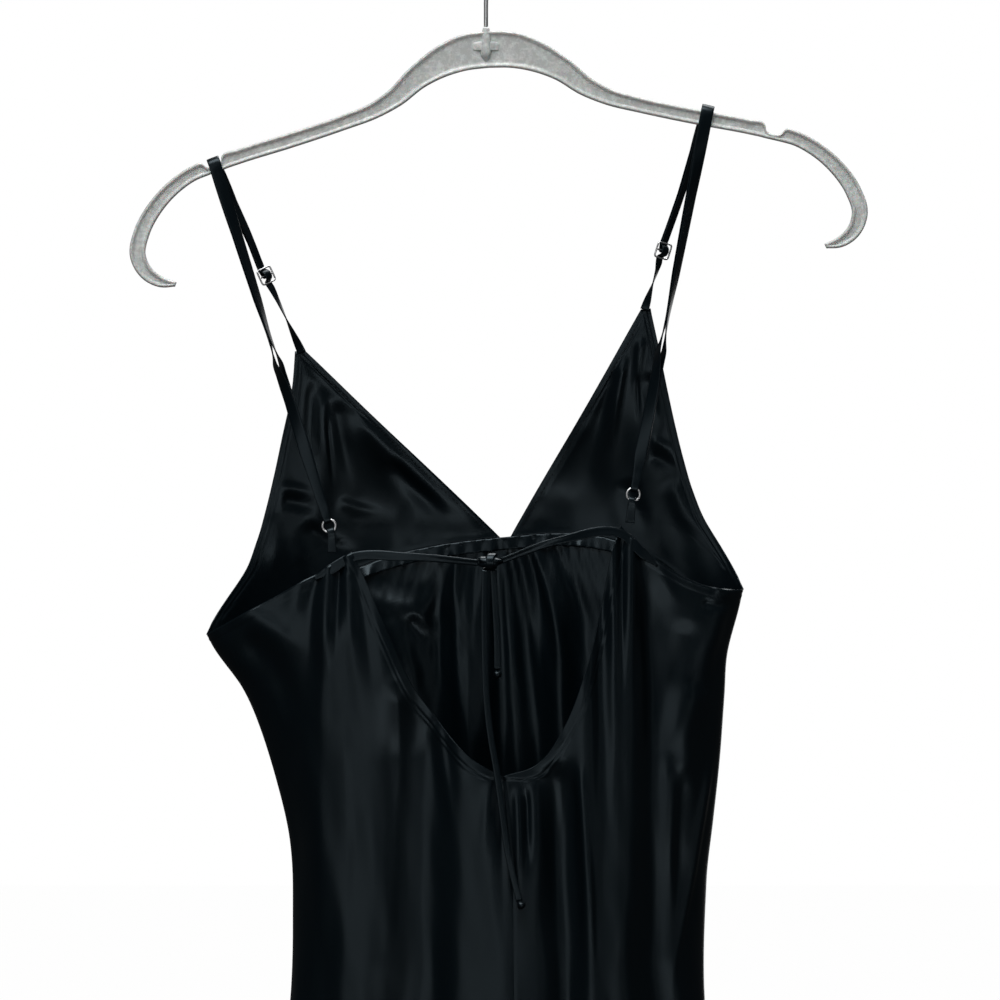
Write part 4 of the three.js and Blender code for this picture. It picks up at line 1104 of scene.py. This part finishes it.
def doubled_stations(side, places):
    """Rows of point, width direction, out direction, width and half the gap, from the slider to the ring."""
    strap = STRAPS[side]
    rows = []

    def add(point, along, twist, width, part):
        """One row, with its width direction worked out from the twist."""
        across = across_at(strap["slope"], along, twist)
        rows.append((point, across, unit(np.cross(along, across)), width, part))

    for share, twist, width, part in FRONT_TWIST:
        add(between(places["front"], places["apex"], share), places["up"], twist, width, part)
    lean = math.radians(strap["slope"])
    rise = np.array([-math.sin(lean), 0, math.cos(lean)])
    for degrees in range(0, 181, 30):
        angle = math.radians(degrees)
        point = places["seat"] + places["radius"] * math.sin(angle) * rise
        point[1] = places["radius"] * math.cos(angle)
        along = rise * math.cos(angle) - np.array([0, math.sin(angle), 0])
        add(point, along, 0, STRAP_WIDTH, LAYER)
    for share, twist, width, part in BACK_TWIST:
        point = between(places["back"], places["ring_top"], share * strap["curl"])
        add(point, places["down"], twist, width, part)
    point = between(places["back"], places["ring_top"], BACK_LAST["share"])
    add(point, places["down"], BACK_LAST["twist"], BACK_LAST["width"], LAYER)
    return rows


def ring_turn(centre, across, out, down, width):
    """Half a turn round the ring's wire: cos of the angle outwards and sin of it downwards."""
    angles = np.radians(np.arange(0, 181, 22.5))[:, None]
    points = centre + RING_TURN["out"] * np.cos(angles) * out + RING_TURN["down"] * np.sin(angles) * down
    return [(point, across, width) for point in points]


def strap_stations(side):
    """The whole way of the strap as rows of point, width direction and width."""
    strap, places = STRAPS[side], strap_places(side)
    doubled = doubled_stations(side, places)
    under = [(point - part * out, across, width) for point, across, out, width, part in doubled]
    over = [(point + part * out, across, width) for point, across, out, width, part in doubled]
    across = across_at(strap["slope"], places["up"], SLIDER_TWIST)
    out = unit(np.cross(places["up"], across))
    middle = between(places["front"], places["apex"], strap["slider"])
    at_slider = [
        [(middle + up * places["up"] - inward * out, across, STRAP_AT_SLIDER) for up, inward in rows]
        for rows in (SLIDER_LOOP, SLIDER_WEAVE)
    ]
    ring_across = across_at(strap["slope"], places["down"], BACK_LAST["twist"])
    ring_out = unit(np.cross(places["down"], ring_across))
    turn = ring_turn(places["ring_top"], ring_across, ring_out, places["down"], STRAP_AT_RING)
    single = [
        (between(places["front"], places["apex"], between(strap["slider"], 1, share)),
         across_at(strap["slope"], places["up"], twist), width)
        for share, twist, width in APEX_TWIST
    ]
    return at_slider[0] + over + turn + under[::-1] + at_slider[1] + single


def ribbon_piece(name, stations, step, sides=14, roundness=0.5):
    """A ribbon through stations: its line is smooth, its width and turn follow the distance along it."""
    points, turns = (np.array([row[k] for row in stations]) for k in (0, 1))
    widths = np.array([row[2] for row in stations])
    coarse = arc(points, 0)
    count = int(coarse[-1] / step)
    even = np.linspace(0, coarse[-1], count)
    across = unit(read_off(even, coarse, turns))
    width = np.interp(even, coarse, widths)
    loops = ribbon_loops(smooth_line(points, count), across, width, RIBBON_THICKNESS, sides, roundness)
    return tube_piece(name, loops, satin)


# %% [markdown]
# The real strap is sewn from a folded strip, pressed flat. One closed tube through all the stations makes
# the whole way of it, so the layers can't drift apart. It is a little thinner than the CAD's ribbon, which
# leaves air between the layers.

# %% Straps
for side in SIGN:
    strap = ribbon_piece(f"ribbon_strap_{side}", strap_stations(side), RIBBON_STEP["strap"])
    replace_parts(strap, f"strap_{side}")
    print("strap", side, "has", len(strap.data.polygons), "faces")

# %% [markdown]
# ## Rings, sliders and ring tabs
#
# The ring is bent wire, a torus. The slider is a frame of thin wire with a bar across its middle, which
# makes a flat figure of eight. The tab is a scrap of the strap folded through the ring and caught in the
# top corner of the back.

# %% Rings and sliders
SLIDER = {"width": 12.0, "bars": 9.2, "bar": 1.1, "power": 0.28, "rows": 72, "sides": 12}
RING_TAB = {"foot": 5.6, "top": 4.8, "part": 1.1, "inset": 2, "lift": 1.05, "bend": 0.7}


def bent_wire(centre, first, second, half_wide, half_tall, wire, power=1.0, rows=56, sides=14):
    """A wire bent to a flat loop: cos and sin of the angle to a power, times the loop's half sizes.

    Power 1 gives a ring. A low power squares it off to a frame with round corners.
    """
    around, small = turn_angles(rows)[:, None], turn_angles(sides)
    wide, tall = squared(np.cos(around), power), squared(np.sin(around), power)
    line = centre + half_wide * wide * first + half_tall * tall * second
    axis = np.cross(first, second)
    spoke = np.cross(directions(line, closed=True), axis)
    return sections(line, spoke, axis, wire * np.cos(small), wire * np.sin(small))


def make_metal(side):
    """The ring hangs in the strap's turn; the slider is a frame with a bar of the same wire across it."""
    places, slope = strap_places(side), STRAPS[side]["slope"]
    across = across_at(slope, places["down"], BACK_LAST["twist"])
    second = unit(np.cross(np.cross(across, places["down"]), across))
    ring = bent_wire(places["ring"], across, second, RING_RADIUS, RING_RADIUS, RING_WIRE)
    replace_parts(tube_piece(f"wire_ring_{side}", ring, steel, closed=True), f"ring_{side}")
    first = across_at(slope, places["up"], SLIDER_TWIST)
    middle = between(places["front"], places["apex"], STRAPS[side]["slider"])
    wire = SLIDER["bar"] / 2
    half_wide, half_tall = SLIDER["width"] / 2 - wire, SLIDER["bars"] / 2
    frame_wire = bent_wire(middle, first, places["up"], half_wide, half_tall, wire,
                           SLIDER["power"], SLIDER["rows"], SLIDER["sides"])
    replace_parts(tube_piece(f"wire_slider_{side}", frame_wire, steel, closed=True), f"slider_{side}")
    ends = np.linspace(-half_wide, half_wide, SLIDER["sides"])[:, None]
    small = turn_angles(SLIDER["sides"])
    axis = np.cross(first, places["up"])
    bar = sections(middle + ends * first, places["up"], axis, wire * np.cos(small), wire * np.sin(small))
    tube_piece(f"wire_slider_bar_{side}", bar, steel)


def make_ring_tab(side):
    """The tab's legs stand on the panel's top edge and its turn goes round the ring's wire."""
    places, slope = strap_places(side), STRAPS[side]["slope"]
    across = across_at(slope, places["down"], BACK_LAST["twist"])
    out = unit(np.cross(places["down"], across))
    wire = places["ring"] + RING_RADIUS * places["down"]
    foot = panel_top(places["ring"][0] - RING_TAB["inset"] * SIGN[side]) + [0, CLOTH / 2, RING_TAB["lift"]]
    leg_top = between(foot, wire, RING_TAB["bend"])

    def leg(which):
        """One leg of the tab, outside or inside: its foot on the panel and its top below the ring."""
        return [(foot + which * LAYER * out, across, RING_TAB["foot"]),
                (leg_top + which * RING_TAB["part"] * out, across, RING_TAB["top"])]

    turn = ring_turn(wire, across, out, -places["down"], STRAP_AT_RING)
    tab = ribbon_piece(f"loop_ring_tab_{side}", leg(1) + turn + leg(-1)[::-1], RIBBON_STEP["tab"])
    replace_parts(tab, f"ring_tab_{side}")


for side in SIGN:
    make_metal(side)
    make_ring_tab(side)
print("metal pieces made for both sides")

# %% [markdown]
# ## The tie and its knot
#
# From each gathered top corner a narrow tie crosses the opening. It is a folded strip, pulled tighter
# towards the knot, so its width shrinks and lengthwise creases deepen on the way. The knot is a small
# firm ball with one turn of the strip wrapped over it.

# %% Ties and knot
TIE_WIDTH = 6.0
KNOT = {"x": 2.4, "y": -38, "drop": 380.5, "wide": 8, "deep": 4, "tall": 4.4}
TIES = {
    "left": {"hidden": -102, "start": -91, "corner": -83, "middle": (-48, -33, 377.6)},
    "right": {"hidden": 102, "start": 91, "corner": 83, "middle": (44.4, -33, 367.8)},
}
TIE_SLANT = 0.6
TIE_ROLLS = {"start": 0.25, "grow": 0.4, "width": 0.28}
TIE_HIDDEN = {"width": 0.35, "way": 0.12}
PROBE = 0.01
KNOT_WRAP = {"width": 4.8, "thickness": 1.1, "tilt": 0.35, "sway": 0.6, "off_deep": 0.3, "off_tall": 0.2}


def tie_line(side):
    """From the back panel's corner, over the opening, to the side of the knot."""
    tie = TIES[side]
    off = SEAM_GAP + TIE_THICKNESS / 2 + CLEARANCE
    edge = back_points[side][0][np.argsort(back_points[side][0][:, 0])]
    on_panel = []
    for x in (tie["hidden"], tie["start"], tie["corner"]):
        top = np.interp(x, edge[:, 0], edge[:, 2])
        below = TIE_WIDTH / 2 + level(BACK_TOP_DROP)["lean"] * x - top
        phi = angle_at(x, below)
        along = body_point(-1, phi + PROBE, below) - body_point(-1, phi - PROBE, below)
        normal = unit(np.array([along[1], -along[0], 0]))
        on_panel.append(body_point(-1, phi, below) + normal * off)
    end_x = KNOT["x"] + SIGN[side] * (KNOT["wide"] - 1)
    end = np.array([end_x, KNOT["y"], SIGN[side] * TIE_SLANT - KNOT["drop"]])
    return np.array([*on_panel, np.array(tie["middle"]) * DOWN, end])


def make_tie(side):
    """A ribbon whose section has two lengthwise rolls: the thickness dips in the middle of the width.

    It starts narrow under the gathered corner, and slow sines of the way make it sway and swell a little.
    """
    line = smooth_line(tie_line(side), 110)
    s = np.linspace(0, 1, len(line))
    across = np.stack([0 * s, 0.25 * np.sin(5 * s), np.ones(len(line))], axis=-1)
    width = between(TIE_WIDTH, TIE_END_WIDTH, smooth_step(s, 0.2, 1)) * (1 + 0.05 * np.sin(17 * s))
    width *= between(TIE_HIDDEN["width"], 1, smooth_step(s, 0, TIE_HIDDEN["way"]))
    loops = ribbon_loops(line, across, width, TIE_THICKNESS, sides=28)
    middle = loops.mean(axis=1, keepdims=True)
    reach = np.abs((loops - middle)[..., 2]) / (width[:, None] / 2)
    dip = (TIE_ROLLS["start"] + TIE_ROLLS["grow"] * s)[:, None]
    rolls = 1 - dip * np.exp(-((reach / TIE_ROLLS["width"]) ** 2))
    flat = (loops - middle) * np.stack([rolls, rolls, np.ones_like(rolls)], axis=-1)
    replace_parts(tube_piece(f"strip_tie_{side}", middle + flat, satin), f"tie_{side}")


def make_knot():
    """A firm ball, and one turn of the strip round it: an upright oval loop, tilted, with a flat section."""
    place = (KNOT["x"], KNOT["y"], KNOT["drop"])
    sizes = KNOT["wide"], KNOT["deep"], KNOT["tall"]
    ball = knot_loops(place, *sizes, rows=60, columns=96, turns=5, depth=0.22)
    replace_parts(tube_piece("strip_knot", ball, satin), "tie_knot")
    around = turn_angles(64)
    y = (KNOT["deep"] + KNOT_WRAP["off_deep"]) * np.cos(around)
    z = (KNOT["tall"] + KNOT_WRAP["off_tall"]) * np.sin(around)
    x = KNOT_WRAP["tilt"] * z + KNOT_WRAP["sway"] * np.sin(2 * around)
    line = np.stack([x, y, z], axis=-1) + np.array(place) * DOWN
    across = np.broadcast_to(LEVEL_SIDE, line.shape)
    width, thickness = KNOT_WRAP["width"], KNOT_WRAP["thickness"]
    wrap = ribbon_loops(line, across, width, thickness, sides=14, roundness=0.6, closed=True)
    tube_piece("strip_knot_wrap", wrap, satin, closed=True)


for side in SIGN:
    make_tie(side)
make_knot()
print("ties and knot made")

# %% [markdown]
# ## The seam allowance under the cups
#
# Inside the dress the cut edges of the skirt and the cups stand below their seam as a narrow, puckered
# strip. It shows through the opening, to the left of the knot.

# %% Seam allowance
ALLOWANCE = {"above": 0.2, "below": 7.5, "rows": 9, "columns": 420, "off": 0.5, "out": 1.1, "pucker": 0.75}
ALLOWANCE_ENDS = (-0.93, 0.95)
# Columns: height, length and shift of each wave along the free edge.
ALLOWANCE_WAVES = [(1, 1.7, 0), (0.7, 2.9, 1), (0.5, 5.3, 2)]


def make_allowance():
    """A strip along the seam; its free edge waves in and out by a few sines of the way across."""
    sine = np.linspace(*ALLOWANCE_ENDS, ALLOWANCE["columns"])[None, :]
    share = np.linspace(0, 1, ALLOWANCE["rows"])[:, None]
    height = ALLOWANCE["above"] + ALLOWANCE["below"]
    drop = underbust_drop(sine) - ALLOWANCE["above"] + share * height
    base = body_point(1, np.arcsin(sine) + 0 * share, drop)
    wave = sum(tall * np.sin(base[..., 0] / length + shift) for tall, length, shift in ALLOWANCE_WAVES)
    lift = -ALLOWANCE["off"] - share * (ALLOWANCE["out"] + ALLOWANCE["pucker"] * wave)
    strip = panel_piece("cloth_seam_allowance", pushed(base, FRONT_SIDE, lift), FRONT_SIDE, None)
    length, tall = arc(base[:1], 1)[0, -1] * MM, height * MM
    return length


print("seam allowance is", round(make_allowance(), 3), "m long")

# %% [markdown]
# ## Stitches
#
# The turned edges are held by one row of small stitches in the same black thread. Each stitch is a tiny
# spindle, and one array operation sets all the spindles of a row on the cloth.

# %% Stitches
STITCH = {"length": 2.3, "pitch": 3.2, "thick": 0.24, "rise": 0.12, "probe": 0.5}
THREAD_DARK, THREAD_LIGHT = (0.002, 0.0025, 0.003, 1), (0.005, 0.006, 0.007, 1)
SPINDLE = np.array([
    [0, 2, 1], [0, 3, 2], [0, 4, 3], [0, 1, 4], [5, 1, 2], [5, 2, 3], [5, 3, 4], [5, 4, 1],
])
# Columns: name, panel, side of its grid, distance from that side, first and last point of the row.
STITCH_ROWS = [
    ("opening", "back", "first", 5.2, 3, None), ("back_top", "back", "top", 2.7, 8, -4),
    ("hem_back", "back", "bottom", 5.2, 2, -2), ("cup_v", "cup", "first", 3.2, 4, -4),
]


def make_thread():
    """Dull, fuzzy black."""
    paint = Paint("thread", slot="satin", Specular_IOR_Level=0.1)
    fuzz = paint.noise(paint.object_place((1500, 1500, 1500)))
    paint.set("Base Color", paint.mix(fuzz, THREAD_DARK, THREAD_LIGHT))
    paint.set("Roughness", 0.5 + fuzz * 0.2)
    return paint.material


thread = make_thread()


def make_stitches(name, line, outward_way):
    """Spindles along a line: two tips and a ring of four, turned to the line's direction at each place."""
    length = arc(line, 0)
    count = int(length[-1] / STITCH["pitch"])
    at = (np.arange(count) + 0.5) * STITCH["pitch"]
    middle = read_off(at, length, line)
    along = unit(read_off(at + STITCH["probe"], length, line) - middle)
    out = unit(outward_way - along * (along * outward_way).sum(-1, keepdims=True))
    side = np.cross(along, out)
    middle = middle + out * STITCH["rise"]
    half, thick = STITCH["length"] / 2, STITCH["thick"]
    corners = [middle - half * along, middle + thick * out, middle + thick * side, middle - thick * out,
               middle - thick * side, middle + half * along]
    points = np.stack(corners, axis=1).reshape(-1, 3)
    faces = (SPINDLE + len(corners) * np.arange(count)[:, None, None]).reshape(-1, 3)
    outward(new_piece(name, points, faces, points[:, [0, 2]], thread))


def inset_line(points, side, distance):
    """The line at a distance from one side of a grid, by interpolation along each grid line."""
    rows, away = turned(points, side), turned(edge_distance(points, side), side)
    return np.array([read_off(distance, row_away, row) for row, row_away in zip(rows, away)])


for side in SIGN:
    for name, panel, edge, distance, first, last in STITCH_ROWS:
        grid = {"back": back_points, "cup": cup_points}[panel][side]
        if name == "opening":
            grid = grid[: BACK_ROWS["opening"]]
        make_stitches(f"stitches_{name}_{side}", inset_line(grid, edge, distance)[first:last], BACK_SIDE)
print("stitches made")

# %% [markdown]
# ## The hanger
#
# The hanger is one moulding: a thin web with a thick rim along both edges, bent into wide shoulders with
# curled ends. Its section is worked out across the height of the arm and carried along the arm's lower
# edge. The small dips are the notches for straps. The hook's shank sits in a short round neck.

# %% Hanger body
HANGER = {"tilt": 3.36, "neck_x": 1.2, "neck_drop": 73.5, "web": 2.4, "rim": 1.8}
RIM_STEP = {"before": 0.7, "after": 0.2}
RIM_ROUNDING, LEAST_ROUND = 0.9, 0.04
# Columns: way out from the neck, drop of the lower edge, height of the arm.
ARM = np.array([
    (0, 11, 22), (13.1, 11.8, 21.5), (23, 13.9, 19.5), (38.8, 20.2, 15), (53.6, 30.2, 12), (68.1, 37, 10),
    (88.8, 43.3, 9), (120.9, 52, 9), (151.8, 59.6, 8.8), (160.4, 62, 8.6), (162.4, 62.7, 4.8),
    (171.2, 65.3, 4.8), (173.4, 66, 8.6), (178.2, 67.6, 8.8), (189.3, 74.2, 9), (200.4, 84.9, 9.3),
    (209.6, 100, 9.7), (212.2, 110.7, 9.6), (209.1, 119.1, 8.6), (203.5, 124.3, 7), (194.7, 128.3, 3),
])
# Columns of the two profiles: radius, drop.
BOSS = [(1.9, 60.6), (2.4, 62.6), (3, 66), (3.4, 70), (3, 78), (1.2, 81)]
NECK_FLARE = [(3, 65.4), (4.6, 68), (9, 70), (9, 74)]


def arm_outline(half):
    """Half the thickness across the height: web in the middle, rim at both edges, rounded at the top."""
    h = np.sin(np.linspace(-1, 1, 21) * math.pi / 2)
    place = np.abs(h) * half[:, None]
    rim_foot = half[:, None] - HANGER["rim"]
    rim = smooth_step(place, rim_foot - RIM_STEP["before"], rim_foot + RIM_STEP["after"])
    depth = between(HANGER["web"], HANGER_THICKNESS, rim) / 2
    corner = np.clip((place - (half[:, None] - RIM_ROUNDING)) / RIM_ROUNDING, 0, 1)
    return h * half[:, None], depth * np.sqrt(np.clip(1 - corner**2, LEAST_ROUND, 1))


def make_hanger_arms():
    """The arm's lower edge and its height run along one smooth line; the other arm is its mirror image."""
    course = smooth_line(ARM, 190)
    way = directions(course[:, :2])
    way[0] = (1, 0)
    course = np.concatenate([(course * [-1, 1, 1])[:0:-1], course])
    way = np.concatenate([(way * [1, -1])[:0:-1], way])
    height = course[:, 2]
    up = np.stack([-way[:, 1], way[:, 0]], axis=-1)
    middle = course[:, :2] - up * height[:, None] / 2
    across, depth = arm_outline(height / 2)
    high = np.concatenate([across, across[:, ::-1]], axis=1)
    y = np.concatenate([-depth, depth[:, ::-1]], axis=1)
    out = middle[:, :1] - up[:, :1] * high
    below = middle[:, 1:] - up[:, 1:] * high
    turn = math.radians(HANGER["tilt"])
    x = HANGER["neck_x"] + out * math.cos(turn) + below * math.sin(turn)
    z = out * math.sin(turn) - below * math.cos(turn) - HANGER["neck_drop"]
    arms = tube_piece("moulded_arms", np.stack([x, y, z], axis=-1), clear_plastic)
    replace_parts(arms, "hanger_body")


def turned_loops(profile, squash=1.0, rows=40, sides=32):
    """A profile of radius and drop turned about the shank, flattened from front to back by squash."""
    radius, drop = smooth_line(profile, rows).T
    around = turn_angles(sides)
    x = radius[:, None] * np.cos(around)
    y = radius[:, None] * np.sin(around) * squash
    return np.stack([x, y, np.broadcast_to(-drop[:, None], x.shape)], axis=-1)


make_hanger_arms()
tube_piece("moulded_neck", turned_loops(BOSS), clear_plastic)
flare_squash = HANGER_THICKNESS / (2 * NECK_FLARE[-1][0])
tube_piece("moulded_neck_flare", turned_loops(NECK_FLARE, flare_squash), clear_plastic)
print("hanger arms and neck made")

# %% [markdown]
# The hook is one length of bent wire: a straight shank out of the neck, a small knee to the side, and most
# of a circle round the rail. Its cut end is rounded off, so that it doesn't catch the cloth.

# %% Hook
HOOK = {"wire": 1.3, "radius": 17.3, "shank_foot": 60, "shank_top": 43, "least_end": 0.02}
HOOK_KNEE = [(-0.6, 0, -39), (-3.2, 0, -34.4)]
HOOK_SWEEP = (226, -37, -6)


def make_hook():
    """Straight up from the neck, round over the rail on a circle, with a rounded end."""
    middle = HOOK["wire"] - HOOK["radius"]
    shank = [(0, 0, z) for z in np.linspace(-HOOK["shank_foot"], -HOOK["shank_top"], 5)]
    angles = np.radians(np.arange(*HOOK_SWEEP))
    bow = [(HOOK["radius"] * math.cos(a), 0, middle + HOOK["radius"] * math.sin(a)) for a in angles]
    line = smooth_line(shank + HOOK_KNEE + bow, 260)
    past_end = 1 - np.clip((arc(line, 0)[-1] - arc(line, 0)) / HOOK["wire"], 0, 1)
    radius = HOOK["wire"] * np.sqrt(np.clip(1 - past_end**2, HOOK["least_end"], 1))
    hook = tube_piece("wire_hook", wire_loops(line, radius, 24), steel)
    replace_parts(hook, "hanger_hook")


make_hook()
print("hook made")

# %% [markdown]
# ## Floor and light
#
# The photo is lit by a soft box near the camera, on white. Satin mirrors what it faces: cloth that faces
# the box shines softly, and cloth that turns away goes dark. So the boxes are large and weak, the world is
# dim, and strong light comes only from high above, where the upright cloth doesn't mirror it. The white
# behind the dress is a backdrop that only the camera sees. The floor below the hem is plain and pale. It
# has a faint glow of its own and throws no light on the dress, so the satin stays dark from below.

# %% Floor and light
FLOOR_DROP = 1.5
FLOOR_HALF = 16.0
FLOOR_GREY, FLOOR_PALE = (0.1, 0.1, 0.095, 1), (0.13, 0.13, 0.125, 1)
WHITE = (1, 1, 1, 1)
WORLD_LIGHT = 0.05
BACKDROP_RADIUS = 24.0
LIGHTS = {
    "back_box": {"place": (-1.9, -3.9, 0.2), "size": (2.4, 2.4), "power": 15},
    "back_low": {"place": (0.6, -3.5, -1.36), "size": (3.4, 0.42), "power": 13},
    "back_side": {"place": (3.0, -2.8, 0.0), "size": (0.6, 2.4), "power": 1.5},
    "back_top": {"place": (-0.7, -2.0, 3.4), "size": (3.6, 2.6), "power": 185},
    "front_box": {"place": (1.7, 4.0, 0.2), "size": (2.0, 2.4), "power": 16},
    "front_top": {"place": (0.7, 2.0, 3.4), "size": (3.6, 2.6), "power": 160},
}
LIGHT_AIM = np.array([0.0, 0.0, -0.5])


def make_light(name, place, size, power):
    """A rectangular soft light that looks at the middle of the dress."""
    data = bpy.data.lights.new(name, "AREA")
    data.shape = "RECTANGLE"
    data.size, data.size_y = size
    data.energy = power
    light = link(name, data)
    away = unit(np.array(place) - LIGHT_AIM)
    light.location = place
    light.rotation_euler = (math.acos(away[2]), 0, math.atan2(away[1], away[0]) + math.pi / 2)
    light.visible_camera = False


def make_world(brightness):
    """A white world of low brightness fills the shadows."""
    world = bpy.data.worlds.new("studio")
    world.use_nodes = True
    background = world.node_tree.nodes["Background"]
    background.inputs["Color"].default_value = WHITE
    background.inputs["Strength"].default_value = brightness
    bpy.context.scene.world = world


def make_floor():
    """A pale square below the hem, with a faint slow grain."""
    paint = Paint("floor", Specular_IOR_Level=0.2, Emission_Color=WHITE, Emission_Strength=0.98)
    grain = paint.noise(paint.object_place((3, 3, 3)))
    paint.set("Base Color", paint.mix(grain, FLOOR_GREY, FLOOR_PALE))
    paint.set("Roughness", 0.7 + grain * 0.1)
    corners = [(x * FLOOR_HALF, y * FLOOR_HALF, -FLOOR_DROP) for x, y in ((-1, -1), (1, -1), (1, 1), (-1, 1))]
    mesh = bpy.data.meshes.new("floor")
    mesh.from_pydata(corners, [], [(0, 1, 2, 3)])
    mesh.materials.append(paint.material)
    floor = link("floor", mesh)
    floor.visible_glossy = False
    floor.visible_diffuse = False


def make_backdrop():
    """A white sphere round the studio that the camera sees but that throws no light on the dress."""
    white = bpy.data.materials.new("backdrop")
    white.use_nodes = True
    tree = white.node_tree
    glow = tree.nodes.new("ShaderNodeEmission")
    tree.links.new(glow.outputs["Emission"], tree.nodes["Material Output"].inputs["Surface"])
    mesh = bpy.data.meshes.new("backdrop")
    ball = bmesh.new()
    bmesh.ops.create_icosphere(ball, subdivisions=4, radius=BACKDROP_RADIUS)
    ball.to_mesh(mesh)
    ball.free()
    mesh.materials.append(white)
    backdrop = link("backdrop", mesh)
    backdrop.visible_diffuse = False
    backdrop.visible_glossy = False
    backdrop.visible_transmission = False
    backdrop.visible_shadow = False


make_floor()
make_backdrop()
make_world(WORLD_LIGHT)
for light_name, light in LIGHTS.items():
    make_light(light_name, **light)
bpy.context.scene.view_settings.view_transform = "Standard"
